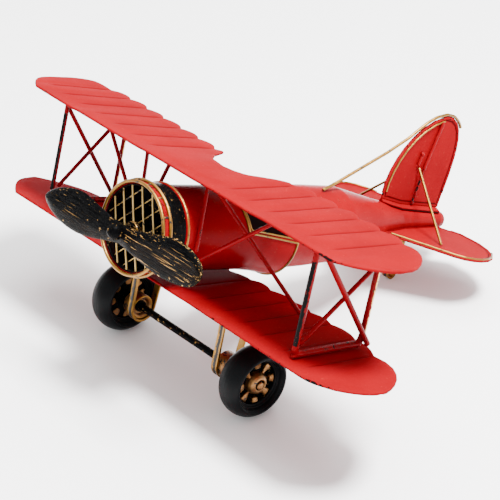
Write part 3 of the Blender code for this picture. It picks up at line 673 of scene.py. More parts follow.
def wing_grid(name, sizes, first_cusp):
    """Points of one wing sheet. Each chordwise station is a closed flat loop from the leading
    edge back along the top and forward again below, rounded at both edges by a quarter circle;
    the same rounding closes the tips. Lines pressed in the sheet run from every cusp of the
    trailing edge forward: each lowers the sheet by depth times a bell curve across it, and
    painted shade darkens a thin line along it and fades out to one side of it. A cusp is where
    the trailing edge's slope jumps, from first_cusp outward."""
    reach = [corners_of(name)[:, 0].min() + 0.02, corners_of(name)[:, 0].max() - 0.02]
    half = sizes.sheet_thickness / MM / 2.0
    inner = np.arange(reach[0] + 4.0, reach[1] - 4.0, 0.55)
    tips = np.array([0.0, 0.05, 0.2, 0.45, 0.8, 1.3, 1.9, 2.6, 3.3])
    places = np.concatenate([reach[0] + tips, inner, reach[1] - tips[::-1]]) + 1e-4
    cuts = slices(name, 0, places)
    lead = np.array([cut[:, 1].min() for cut in cuts])
    trail = np.array([cut[:, 1].max() for cut in cuts])
    lead_z = np.array([cut[cut[:, 1] < low + 0.4, 2].mean() for cut, low in zip(cuts, lead)])
    trail_z = np.array([cut[cut[:, 1] > top - 0.4, 2].mean() for cut, top in zip(cuts, trail)])
    trail = np.maximum(trail, lead + 2.2)
    before, after = (np.interp(places + step, places, trail) for step in (-2.0, 2.0))
    bend = before + after - 2.0 * trail
    steep = (bend > 1.3) & (np.abs(places) > first_cusp)
    steep &= (places > places[0] + 14.0) & (places < places[-1] - 14.0)
    found = np.flatnonzero(steep)
    runs = np.split(found, np.flatnonzero(np.diff(found) > 6) + 1)
    cusps = np.array([places[run[np.argmax(bend[run])]] for run in runs])
    kernel = np.hanning(23)[1:-1] / np.hanning(23).sum()
    lead_z, trail_z = (np.convolve(np.pad(height, 10, mode="reflect", reflect_type="odd"),
                                   kernel, mode="valid") for height in (lead_z, trail_z))

    edge = np.array([0.0, 0.06, 0.2, 0.42, 0.7, 1.05])
    share = np.linspace(0.0, 1.0, 30)
    chord = (trail - lead)[:, None]
    inside = 1.1 + (chord - 2.2) * share
    across = np.concatenate([np.broadcast_to(edge, (len(places), 6)), inside,
                             chord - edge[::-1]], axis=1)
    part = across / chord
    off_edge = np.minimum(across, chord - across)
    off_tip = np.minimum(places - places[0], places[-1] - places)[:, None]
    rounding = np.sqrt(1.0 - (1.0 - np.clip(off_edge / half, 0.0, 1.0)) ** 2)
    rounding = rounding * np.sqrt(1.0 - (1.0 - np.clip((off_tip + 0.05) / half, 0, 1)) ** 2)

    y = lead[:, None] + across
    z = lead_z[:, None] + (trail_z - lead_z)[:, None] * part
    fade = smooth((part - 0.13) / 0.16) * smooth((1.0 - part) / 0.10)
    away = np.abs(places[:, None] - cusps[None])
    depth = sizes.crease_depth / MM
    width = sizes.crease_width / MM
    groove = np.exp(-(away / width) ** 2).sum(1)[:, None] * depth
    belly = 1.0 - np.exp(-(away.min(1) / 6.0) ** 2)[:, None]
    wave = 0.10 * np.sin(places[:, None] * 0.11 + y * 0.05) * np.sin(y * 0.13 + 1.0)
    relief = (-groove + 0.22 * belly) * fade + wave * smooth(off_edge / 6.0)
    top = np.stack([places[:, None] + 0.0 * y, y, z + half * rounding + relief], axis=-1)
    under = np.stack([places[:, None] + 0.0 * y, y, z - half * rounding + relief], axis=-1)
    loops = np.concatenate([top, under[:, ::-1]], axis=1)
    bare = np.concatenate([off_edge, off_edge[:, ::-1]], axis=1)
    beside = places[:, None] - cusps[None]
    # painted shade: a thin dark line along each crease, and a shade that fades out on one side of it
    line = np.exp(-(away / 0.5) ** 2).sum(1)[:, None] * 0.5
    shade_beside_crease = (np.exp(-np.abs(beside) / 2.6) * (beside < 0.0)).sum(1)[:, None] * 0.25
    soot = (line + shade_beside_crease) * fade + 0.0 * y
    return loops, bare, places, np.concatenate([soot, soot[:, ::-1]], axis=1)


class BuildWings(bpy.types.Operator):
    """Two pressed sheet wings with scalloped trailing edges and chipped leading edges"""
    bl_idname = "biplane.wings"
    bl_label = "Wings"

    def execute(self, context):
        sizes = context.scene.biplane_sizes
        for name, first_cusp, chips in (
                ("upper_wing", 31.0, ((126.0, 7.0, 0.75), (-143.0, 6.0, 0.5))),
                ("lower_wing", 12.0, ((136.0, 6.0, 0.7), (60.0, 30.0, 0.1)))):
            loops, bare, places, soot = wing_grid(name, sizes, first_cusp)
            near_edge = np.exp(-(bare / 0.7) ** 2)
            front = loops[..., 1] < 0.0
            wear = 0.13 * near_edge
            for middle, spread, amount in chips:
                patch = np.exp(-((places - middle) / spread) ** 2)[:, None]
                wear = wear + amount * patch * near_edge * front
            shape = skin(loops, wear=wear, soot=soot)
            make(f"{name}_sheet", [shape], finish("red_sheet"), "airframe", [name],
                 60.0)
        return {"FINISHED"}


# Struts and bracing

def stripe(direction, amount, least, start=0.0):
    """Wear on the side of a rod that faces the direction: amount where the cosine between them
    passes least, from start millimetres along the rod."""
    direction = unit(np.asarray(direction, float))

    def wear(length, side):
        """Wear at this length along the rod, on the side that points this way."""
        facing = smooth((side @ direction - least) / 0.35 + 0.5)
        return 0.05 + amount * facing * smooth((length - start) / 5.0 + 0.5)
    return wear


def underside_shade(length, side):
    """Painted shade on the underside of a gilt wire, darker brown below, the same all along it."""
    return 0.9 * smooth(0.35 - 1.4 * side[..., 2])


class BuildStruts(bpy.types.Operator):
    """Bent foot bars, leaning posts and crossing braces between the wings"""
    bl_idname = "biplane.struts"
    bl_label = "Wing struts and bracing"

    def execute(self, context):
        red = finish("red_rod")
        posts = {"front": {"wear": stripe((-0.3, -0.95, 0.0), 0.85, 0.2, 9.0)},
                 "rear": {"wear": stripe((0.5, 0.85, 0.0), 0.7, 0.35),
                          "gild": stripe((0.4, 0.9, 0.0), 1.0, 0.2)}}
        for word, _ in SIDES:
            for end, worn in posts.items():
                high, low, radius = rod_of(f"{word}_{end}_strut")
                path = straight(high + (high - low) * 0.004, low, 26)
                make(f"{word}_{end}_post", [tube(path, radius, 20, **worn)], red, "airframe",
                     [f"{word}_{end}_strut"])
            make(f"{word}_foot_bar", [self.foot(word)], red, "airframe", [f"{word}_strut_foot"])
            for name in ("rising_brace", "falling_brace", "inner_brace", "outer_brace",
                         "centre_strut"):
                high, low, radius = rod_of(f"{word}_{name}")
                ends = (low - high) * 0.006
                bar = tube(straight(high - ends, low + ends, 24), radius, 16, wear=0.14)
                make(f"{word}_{name}_rod", [bar], red, "airframe", [f"{word}_{name}"])
        return {"FINISHED"}

    def foot(self, word):
        """The foot bar follows the solid's middle line: its x is the mean of the vertices, and it
        runs one radius above the solid's lowest points, rising to its tops at both ends.
        """
        points = corners_of(f"{word}_strut_foot")
        front, rear = points[:, 1].min(), points[:, 1].max()
        radius = (points[:, 0].max() - points[:, 0].min()) / 2.0
        x = points[:, 0].mean()
        bar = points[np.abs(points[:, 1] - (front + rear) / 2.0) > 5.0]
        low_front = bar[bar[:, 1] < 0.0]
        low_rear = bar[bar[:, 1] > 0.0]
        z0 = low_front[:, 2].min() + radius
        z1 = low_rear[:, 2].min() + radius
        top0, top1 = low_front[:, 2].max(), low_rear[:, 2].max()
        path = curve_through([(x, front + radius, top0), (x, front + radius + 0.1, z0 + 2.4),
                              (x, front + radius + 1.4, z0 + 0.5), (x, front + radius + 4.0, z0),
                              (x, rear - radius - 5.0, z1 - 0.2),
                              (x, rear - radius - 1.8, z1 + 0.5),
                              (x, rear - radius - 0.3, z1 + 2.5), (x, rear - radius, top1)], 60)
        return tube(path, radius, 20, wear=lambda length, side: 0.2 * smooth(side[..., 2])
                    * smooth((length - 6.0) / 8.0) + 0.06)


# Fuselage

def shell_radius(y):
    """Outer radius of the front body at distances y, read from the solid."""
    points = corners_of("fuselage_shell")
    along = np.linspace(points[:, 1].min() + 0.02, points[:, 1].max() - 0.02, 40)
    outer = [np.hypot(cut[:, 0], cut[:, 2] - AXIS_Z).max()
             for cut in slices("fuselage_shell", 1, along)]
    return np.interp(y, along, outer)


def sill_angle(y, spread=0.0):
    """Angle from the bottom of the shell to the cockpit's falling sill, less a spread in mm."""
    sill = SILL_Z - SILL_FALL * np.maximum(y - COCKPIT_FRONT_Y, 0.0)
    return math.pi / 2 + np.arcsin((sill - AXIS_Z) / shell_radius(y)) - spread / shell_radius(y)


def cockpit_front(turn):
    """Distance y of the cockpit's leaning front edge at angles from the bottom."""
    height = AXIS_Z - shell_radius(COCKPIT_FRONT_Y) * np.cos(turn)
    return COCKPIT_FRONT_Y - COCKPIT_LEAN * np.maximum(height - SILL_Z, 0.0)


def towards_axis(middles, normals):
    """Which faces look in at the body's long axis."""
    radial = middles * np.array([1.0, 0.0, 1.0]) - np.array([0.0, 0.0, AXIS_Z])
    return (normals * radial).sum(1) < 0.0


def on_shell(y, turn, lift=0.0):
    """Level-frame points at distances y and angles from the bottom, lifted off the shell."""
    radius = shell_radius(y) + lift
    return np.stack([radius * np.sin(turn), y + 0.0 * turn, AXIS_Z - radius * np.cos(turn)], -1)


class BuildFuselage(bpy.types.Operator):
    """Open front body with gold-wired cockpit, and the tapering rear body"""
    bl_idname = "biplane.fuselage"
    bl_label = "Fuselage"

    def execute(self, context):
        wire = context.scene.biplane_sizes.trim_wire / MM
        self.front_body()
        self.coaming(wire)
        self.rear_body()
        return {"FINISHED"}

    def front_body(self):
        """A tube of two skins. Its rows run from the nose to the rear rim, one of them along
        the cockpit's front edge, and its columns run round, one along each sill. The cells in
        the cockpit are left out, and a narrow wall joins the skins round every free edge."""
        ends = corners_of("fuselage_shell")[:, 1]
        nose, rear = ends.min() + 0.02, ends.max() - 0.02
        row = np.concatenate([np.linspace(-1.0, 0.0, 36), np.linspace(0.0, 1.0, 34)[1:]])[:, None]
        half = np.concatenate([np.linspace(0.0, 1.0, 44), np.linspace(1.0, 2.0, 30)[1:]])
        column = np.concatenate([-half[:0:-1], half[:-1]])
        rough_y = np.where(row < 0.0, nose + (COCKPIT_FRONT_Y - nose) * (row + 1.0),
                           COCKPIT_FRONT_Y + (rear - COCKPIT_FRONT_Y) * row)
        sill = sill_angle(rough_y)
        part = np.abs(column)
        turn = np.where(part < 1.0, sill * part, sill + (math.pi - sill) * (part - 1.0))
        edge_y = cockpit_front(turn)
        y = np.where(row < 0.0, nose + (edge_y - nose) * (row + 1.0),
                     edge_y + (rear - edge_y) * row)
        turn = turn * np.where(column < 0.0, -1.0, 1.0)
        outside, inside = on_shell(y, turn), on_shell(y, turn, -1.0)

        rows, count = turn.shape
        index = np.arange(rows * count).reshape(rows, count)
        right = np.roll(index, -1, 1)
        middle = np.abs(column + np.roll(column, -1)) / 2.0
        middle[-1] = 2.0
        kept = (row[:-1] + row[1:] < 0.0) | (middle[None] < 1.0)
        quads = np.stack([index[:-1], right[:-1], right[1:], index[1:]], axis=-1)[kept]
        sides = np.concatenate([quads[:, [k, (k + 1) % 4]] for k in range(4)])
        _, first, times = np.unique(np.sort(sides, axis=1), axis=0, return_index=True,
                                    return_counts=True)
        free = sides[first[times == 1]]
        below = rows * count
        walls = np.stack([free[:, 1], free[:, 0], free[:, 0] + below, free[:, 1] + below], -1)
        used, packed = np.unique(np.concatenate([quads, quads[:, ::-1] + below, walls]),
                                 return_inverse=True)
        verts = np.concatenate([outside.reshape(-1, 3), inside.reshape(-1, 3)])[used]
        still = np.zeros(len(used))
        shape = {"verts": verts, "quads": packed.reshape(-1, 4), "fans": np.empty((0, 3), int),
                 "lay": verts, "wear": still + 0.02, "gild": still, "soot": still}
        make("front_body", [shape], finish("red_body"), "airframe", ["fuselage_shell"],
             50.0, (finish("dark_inside"), towards_axis))

    def coaming(self, wire):
        """Two wires round the cockpit opening, along both sills and over the front edge, with
        corners eased by a running mean, and one wire round the shell's rear rim."""
        rear = corners_of("fuselage_shell")[:, 1].max()
        shapes = []
        for spread, lift in ((1.5, 0.35), (-0.3, -0.2)):
            sill_y = np.arange(rear + 0.3, COCKPIT_FRONT_Y - spread, -0.25)
            sill_turn = sill_angle(sill_y, spread)
            front_turn = np.linspace(sill_turn[-1], math.pi, 90)[1:]
            half = np.vstack([on_shell(sill_y, sill_turn, lift),
                              on_shell(cockpit_front(front_turn) - spread, front_turn, lift)])
            path = np.vstack([half, half[-2::-1] * np.array([-1.0, 1.0, 1.0])])
            window = 13
            padded = np.vstack([path[:1]] * (window // 2) + [path] + [path[-1:]] * (window // 2))
            total = np.cumsum(np.vstack([np.zeros((1, 3)), padded]), axis=0)
            eased = (total[window:] - total[:-window]) / window
            shapes.append(tube(eased[::2], wire, 12, wear=0.1, soot=underside_shade))
        sill = sill_angle(np.array([rear]))[0]
        rim = on_shell(np.full(90, rear), np.linspace(-sill, sill, 90), 0.1)
        shapes.append(tube(rim, wire * 1.15, 12, wear=0.1, soot=underside_shade))
        make("cockpit_wires", shapes, finish("gold_wire"), "airframe", ())

    def rear_body(self):
        """Turned from the solid's own section: half its width and its middle height at each step,
        with a pressed seam of two rings near the stern."""
        points = corners_of("rear_fuselage")
        front, rear = points[:, 1].min() + 0.02, points[:, 1].max() - 0.02
        y = np.concatenate([np.linspace(front, rear - 8.0, 150),
                            rear - 8.0 * (1 - np.sin(np.linspace(0, math.pi / 2, 16)[1:]))])
        cuts = slices("rear_fuselage", 1, y)
        radius = np.array([(cut[:, 0].max() - cut[:, 0].min()) / 2.0 for cut in cuts])
        height = np.array([(cut[:, 2].max() + cut[:, 2].min()) / 2.0 for cut in cuts])
        seam = 0.28 * np.exp(-((y - 151.0) / 0.45) ** 2) + 0.15 * np.exp(-((y - 156.0) / 0.4) ** 2)
        radius = radius - seam
        turn = np.linspace(0.0, math.tau, 96, endpoint=False)
        ring = np.stack([radius[:, None] * np.cos(turn), y[:, None] + 0.0 * turn,
                         height[:, None] + radius[:, None] * np.sin(turn)], axis=-1)

        def bulkhead(middles, normals):
            """The flat front face, which is the back wall of the cockpit."""
            return (normals[:, 1] < -0.7) & (middles[:, 1] < front + 1.0)
        make("rear_body", [skin(ring, wear=0.03)], finish("red_body"), "airframe",
             ["rear_fuselage"], 50.0, (finish("dark_inside"), bulkhead))


# Cowl

def node_radius(name):
    """(least, greatest) distance from the fuselage axis, and (front, rear) along y."""
    points = corners_of(name)
    away = np.hypot(points[:, 0], points[:, 2] - AXIS_Z)
    return away.min(), away.max(), points[:, 1].min(), points[:, 1].max()


class BuildCowl(bpy.types.Operator):
    """Ringed engine cowl with spacers, a black drum and a wire grille"""
    bl_idname = "biplane.cowl"
    bl_label = "Engine cowl"

    def execute(self, context):
        gold, black = finish("gold_wire"), finish("black_gloss")
        centre = (0.0, 0.0, AXIS_Z)
        for name in ("cowl_front_ring", "cowl_second_ring", "cowl_rear_ring"):
            least, most, front, rear = node_radius(name)
            section = (rear - front) / 2.0
            ring = lathe(ring_profile((least + most) / 2.0, (front + rear) / 2.0, section), "y",
                         centre, 120, wear=0.16, closed=True)
            make(f"{name}_wire", [ring], gold, "airframe", [name])
        least, most, front, rear = node_radius("cowl_band")
        band = [(most, front), (most, rear + 1.0), (least, rear + 3.4), (least - 0.5, rear + 3.4),
                (least - 0.5, front - 0.6), (least, front - 0.6)]

        def within(middles, normals):
            """The band's inner face, behind its front rim."""
            return towards_axis(middles, normals) & (middles[:, 1] > front + 0.8)
        make("cowl_inner_band", [lathe(band, "y", centre, 96, closed=True, wear=0.22)],
             finish("red_body"), "airframe", ["cowl_band"], 40.0,
             (finish("dark_inside"), within))
        spacers = []
        for k in range(14):
            angle = math.tau * (k + 0.35) / 14
            foot = (25.6 * math.cos(angle), -61.0, AXIS_Z + 25.6 * math.sin(angle))
            head = (26.0 * math.cos(angle), -58.4, AXIS_Z + 26.0 * math.sin(angle))
            spacers.append(tube(straight(foot, head, 5), 0.65, 10, wear=0.45))
        make("cowl_spacers", spacers, gold, "airframe", ())
        least, most, front, rear = node_radius("cowl_drum")
        drum = rounded([(0.0, rear), (most, rear), (most, front), (most - 1.4, front),
                        (most - 1.4, front + 4.4), (0.0, front + 4.4)], 0.8)
        make("cowl_black_drum", [lathe(drum, "y", centre, 120, wear=0.05)], black, "airframe",
             ["cowl_drum"])
        lip = [(24.3, -44.9), (25.2, -44.6), (25.2, -44.2), (24.3, -44.1)]
        make("cowl_red_lip", [lathe(lip, "y", centre, 96, closed=True)], finish("red_body"),
             "airframe", ())
        self.grille(context.scene.biplane_sizes.grille_wire / MM)
        return {"FINISHED"}

    def grille(self, wire):
        """The stout leaning bars of the solid, and a thin set that crosses them behind, both
        clipped to the rim circle and ended in the boss, clear of the shaft; a dark rim ring; a
        black bearing boss with a gilt arc."""
        rim, front = 23.7, -60.6
        sets = {"bar_wire": (115.0, (-14.9, -7.5, 0.0, 8.0, 16.0), wire, 0.0),
                "thin_wire": (45.0, (-17.0, -9.2, -1.4, 6.6, 14.6), wire * 0.62, 0.8)}
        for kind, (angle, offsets, size, depth) in sets.items():
            along = np.array([math.cos(math.radians(angle)), math.sin(math.radians(angle))])
            across = np.array([along[1], -along[0]])
            shaft = np.array([0.0, PROP_CENTRE[2] - AXIS_Z])
            bars = []
            for offset in offsets:
                reach = math.sqrt(rim ** 2 - offset ** 2)
                for start, end in self.spans(reach, shaft @ across - offset, shaft @ along):
                    place = np.linspace(start, end, 20)
                    flat = across * offset + along * place[:, None]
                    bow = 0.4 * (1.0 - (place / reach) ** 2)
                    path = np.stack([flat[:, 0], front + depth - bow, AXIS_Z + flat[:, 1]], axis=1)
                    bars.append(tube(path, size, 10, wear=0.12 if depth == 0.0 else 0.36))
            stands = ["grille"] if depth == 0.0 else ()
            make(f"grille_{kind}", bars, finish(kind), "airframe", stands)
        ring = lathe(ring_profile(rim, front, 0.62), "y", (0.0, 0.0, AXIS_Z), 96, closed=True,
                     wear=0.05)
        make("grille_rim", [ring], finish("black_gloss"), "airframe", ())
        middle = (0.0, 0.0, PROP_CENTRE[2])
        boss = lathe(ring_profile(4.2, -61.4, 1.5), "y", middle, 40, closed=True, wear=0.12)
        bearing = [(2.5, -59.4), (4.6, -59.4), (4.6, -61.4), (2.5, -61.4)]
        bearing = lathe(bearing, "y", middle, 32, closed=True)
        make("shaft_boss", [boss, bearing], finish("black_blade"), "airframe", ())
        turn = np.linspace(-1.0, 1.25, 24)
        arc = np.stack([5.1 * np.cos(turn), np.full(24, -62.4),
                        PROP_CENTRE[2] + 5.1 * np.sin(turn)], axis=1)
        make("boss_arc", [tube(arc, 0.42, 10, wear=0.1)], finish("gold_wire"), "airframe", ())

    def spans(self, reach, beside, ahead, boss=4.0):
        """The stretches of one bar: two that end inside the bearing boss where the bar would
        cross it, or else one. The shaft lies beside the bar's line, and ahead of its middle."""
        if abs(beside) >= boss:
            return [(-reach, reach)]
        half = math.sqrt(boss ** 2 - beside ** 2)
        return [(-reach, ahead - half), (ahead + half, reach)]


# Propeller

class BuildPropeller(bpy.types.Operator):
    """Two black carved blades with a front ridge, a dome nut and the shaft"""
    bl_idname = "biplane.propeller"
    bl_label = "Propeller"

    def execute(self, context):
        self.blades()
        y, z = PROP_CENTRE[1], PROP_CENTRE[2]
        dome = [(0.0, -8.56), (1.6, -8.26), (3.1, -7.17), (4.1, -5.6), (4.5, -4.2), (4.6, -3.2),
                (4.6, -1.0), (0.0, -1.0)]
        nut = lathe(rounded(dome, 0.3), "y", (0.0, y, z), 40, wear=0.10)
        make("dome_nut", [nut], finish("black_gloss"), "propeller", ["propeller_nut"])
        high = corners_of("propeller_shaft")[:, 1]
        shaft = rounded([(0.0, high.min() - y - 1.0), (2.0, high.min() - y - 1.0),
                         (2.0, high.max() - y), (0.0, high.max() - y)], 0.3)
        make("steel_shaft", [lathe(shaft, "y", (0.0, y, z), 32)], finish("bronze_cast"),
             "propeller", ["propeller_shaft"])
        return {"FINISHED"}

    def blades(self):
        """Read from the solid's outline: at each x the loop runs from the upper edge down the
        front over a soft ridge to the lower edge, and back up behind."""
        points = corners_of("propeller_blades")
        reach = (points[:, 0].min() + 0.03, points[:, 0].max() - 0.03)
        ends = np.array([0.0, 0.12, 0.4, 0.8, 1.4, 2.2, 3.2])
        x = np.concatenate([reach[0] + ends, np.linspace(reach[0] + 4.3, reach[1] - 4.3, 110),
                            reach[1] - ends[::-1]])
        cuts = slices("propeller_blades", 0, x)
        high = np.array([cut[:, 2].max() for cut in cuts])
        low = np.array([cut[:, 2].min() for cut in cuts])
        front = np.array([cut[:, 1].min() for cut in cuts])
        back = np.array([cut[:, 1].max() for cut in cuts])
        ridge = np.array([cut[np.argmin(cut[:, 1]), 2] for cut in cuts])
        kernel = np.array([1.0, 2.0, 3.0, 4.0, 3.0, 2.0, 1.0]) / 16.0
        ease = [np.convolve(np.pad(v, 3, mode="edge"), kernel, mode="valid")
                for v in (high, low, front, back, ridge)]
        high, low, front, back, ridge = (v[:, None] for v in ease)
        middle = (front + back) / 2.0 + 0.4
        down = np.array([0.0, 0.03, 0.1, 0.22, 0.4, 0.6, 0.8, 0.93, 1.0])
        bow = np.array([0.0, 0.25, 0.45, 0.62, 0.78, 0.9, 0.97, 0.995, 1.0])
        z_top = high + (ridge - high) * down
        y_top = middle + (front - middle) * bow
        z_low = ridge + (low - ridge) * down[1:]
        y_low = front + (middle - front) * (1.0 - bow[::-1][1:])
        rise = np.array([0.04, 0.15, 0.35, 0.5, 0.65, 0.85, 0.96])
        z_back = low + (high - low) * rise
        y_back = middle + (back - middle) * np.sin(math.pi * rise) ** 0.5
        z = np.concatenate([z_top, z_low, z_back], axis=1)
        y = np.concatenate([y_top, y_low, y_back], axis=1)
        loops = np.stack([x[:, None] + 0.0 * z, y, z], axis=-1)
        under = np.concatenate([0.0 * z_top, 0.0 * z_low + 1.0, 0.0 * z_back + 0.5], axis=1)
        edge = np.zeros_like(z)
        edge[:, [0, 1, 16, 17, 18]] = 1.0
        tip = np.exp(-np.minimum(x - reach[0], reach[1] - x) / 3.0)[:, None]
        right = smooth((x[:, None] - 4.0) / 6.0)
        wear = 0.03 + 0.02 * edge + right * (0.17 * edge + 0.16 * tip)
        make("carved_blades", [skin(loops, wear=wear, gild=under, soot=1.0 - 0.72 * right)],
             finish("black_blade"), "propeller", ["propeller_blades"], 30.0)


# Undercarriage

def strap(path, width, thickness, x):
    """A flat strap with a groove down its outer face, carried along a path in the y-z plane.
    The section is a rectangle whose outer side dips by a bell curve in the middle. Light wear
    covers the strap, and a wear value near one in the groove turns it near black: painted
    shade in the groove."""
    path = np.asarray(path, float)
    ahead = unit(np.gradient(path, axis=0))
    out = np.stack([ahead[:, 1], -ahead[:, 0]], axis=1)
    side = np.array([-1.0, -0.97, -0.55, -0.3, -0.12, 0.12, 0.3, 0.55, 0.97, 1.0])
    lift = np.array([-0.6, 1.0, 1.0, 0.7, -0.2, -0.2, 0.7, 1.0, 1.0, -0.6])
    u = np.concatenate([side, side[::-1]]) * width / 2.0
    v = np.concatenate([lift, -np.ones(10) * np.array([0.6, 1, 1, 1, 1, 1, 1, 1, 1, 0.6])])
    v = v * thickness / 2.0
    yz = path[:, None] + out[:, None] * v[None, :, None]
    points = np.stack([x + u[None] + 0.0 * yz[..., 0], yz[..., 0], yz[..., 1]], axis=-1)
    # painted shade: the groove gets a wear value near one, which the gilt finish shows as near-black
    # chips; the rest is light real wear
    groove = np.concatenate([np.exp(-(side / 0.48) ** 4), np.zeros(10)])
    wear = 0.14 + 0.9 * groove[None] + 0.0 * yz[..., 0]
    return points, wear


class BuildUndercarriage(bpy.types.Operator):
    """Axle tube, axle drums and the grooved brass straps that hold them"""
    bl_idname = "biplane.undercarriage"
    bl_label = "Undercarriage"

    def execute(self, context):
        points = corners_of("axle")
        ends = points[:, 0].min(), points[:, 0].max()
        radius = (points[:, 1].max() - points[:, 1].min()) / 2.0
        axle = tube(straight((ends[0], 0, 0), (ends[1], 0, 0), 60), radius, 24, wear=0.12)
        make("axle_tube", [axle], finish("black_gloss"), "airframe", ["axle"])
        for word, side in SIDES:
            self.drum(word, side)
            self.leg(word)
        return {"FINISHED"}

    def drum(self, word, side):
        """A turned bronze drum with a coned inner end, a gold rim ring and a dark collar."""
        points = corners_of(f"{word}_axle_drum")
        away = np.hypot(points[:, 1], points[:, 2])
        near, far = sorted(np.abs([points[:, 0].min(), points[:, 0].max()]))
        most, bore = away.max(), away.min()
        profile = rounded([(bore, near + 2.4), (4.6, near + 2.4), (5.6, near + 0.3), (most, near),
                           (most, far), (bore, far)], 0.4)
        rim = ring_profile(most - 0.55, near + 0.3, 0.6)
        collar = rounded([(bore, near + 0.9), (3.5, near + 0.9), (3.5, near + 3.0),
                          (bore, near + 3.0)], 0.3)
        for label, shape, kind, wear in (("drum", profile, "bronze_cast", 0.3),
                                         ("drum_rim", rim, "gold_wire", 0.15),
                                         ("drum_collar", collar, "black_gloss", 0.05)):
            turned = lathe(shape * np.array([1.0, side]), "x", (0, 0, 0), 64, wear=wear,
                           closed=True)
            stands = [f"{word}_axle_drum"] if label == "drum" else ()
            make(f"{word}_{label}", [turned], finish(kind), "airframe", stands)

    def leg(self, word):
        """A grooved strap down from the wing, half round the drum and up again, along the
        middle of the solid's own strap."""
        points = corners_of(f"{word}_axle_leg")
        x = (points[:, 0].min() + points[:, 0].max()) / 2.0
        width = points[:, 0].max() - points[:, 0].min()
        flat = points[:, 1:]
        reach = np.hypot(flat[:, 0], flat[:, 1])
        low = flat[flat[:, 1] < 0.5]
        inner = np.hypot(low[:, 0], low[:, 1]).min()
        outer = np.hypot(low[:, 0], low[:, 1]).max()
        middle = (inner + outer) / 2.0
        top = flat[reach > outer + 3.0]
        front, rear = top[top[:, 0] < 0], top[top[:, 0] > 0]
        bend = np.linspace(math.pi, math.tau, 30)
        arc = np.stack([middle * np.cos(bend), middle * np.sin(bend)], axis=1)
        path = np.vstack([straight(front.mean(0), arc[0], 24)[:-1], arc,
                          straight(arc[-1], rear.mean(0), 24)[1:]])
        loops, wear = strap(path, width, outer - inner, x)
        make(f"{word}_leg_strap", [skin(loops, wear=wear)], finish("gold_wire"), "airframe",
             [f"{word}_axle_leg"])


# Wheels

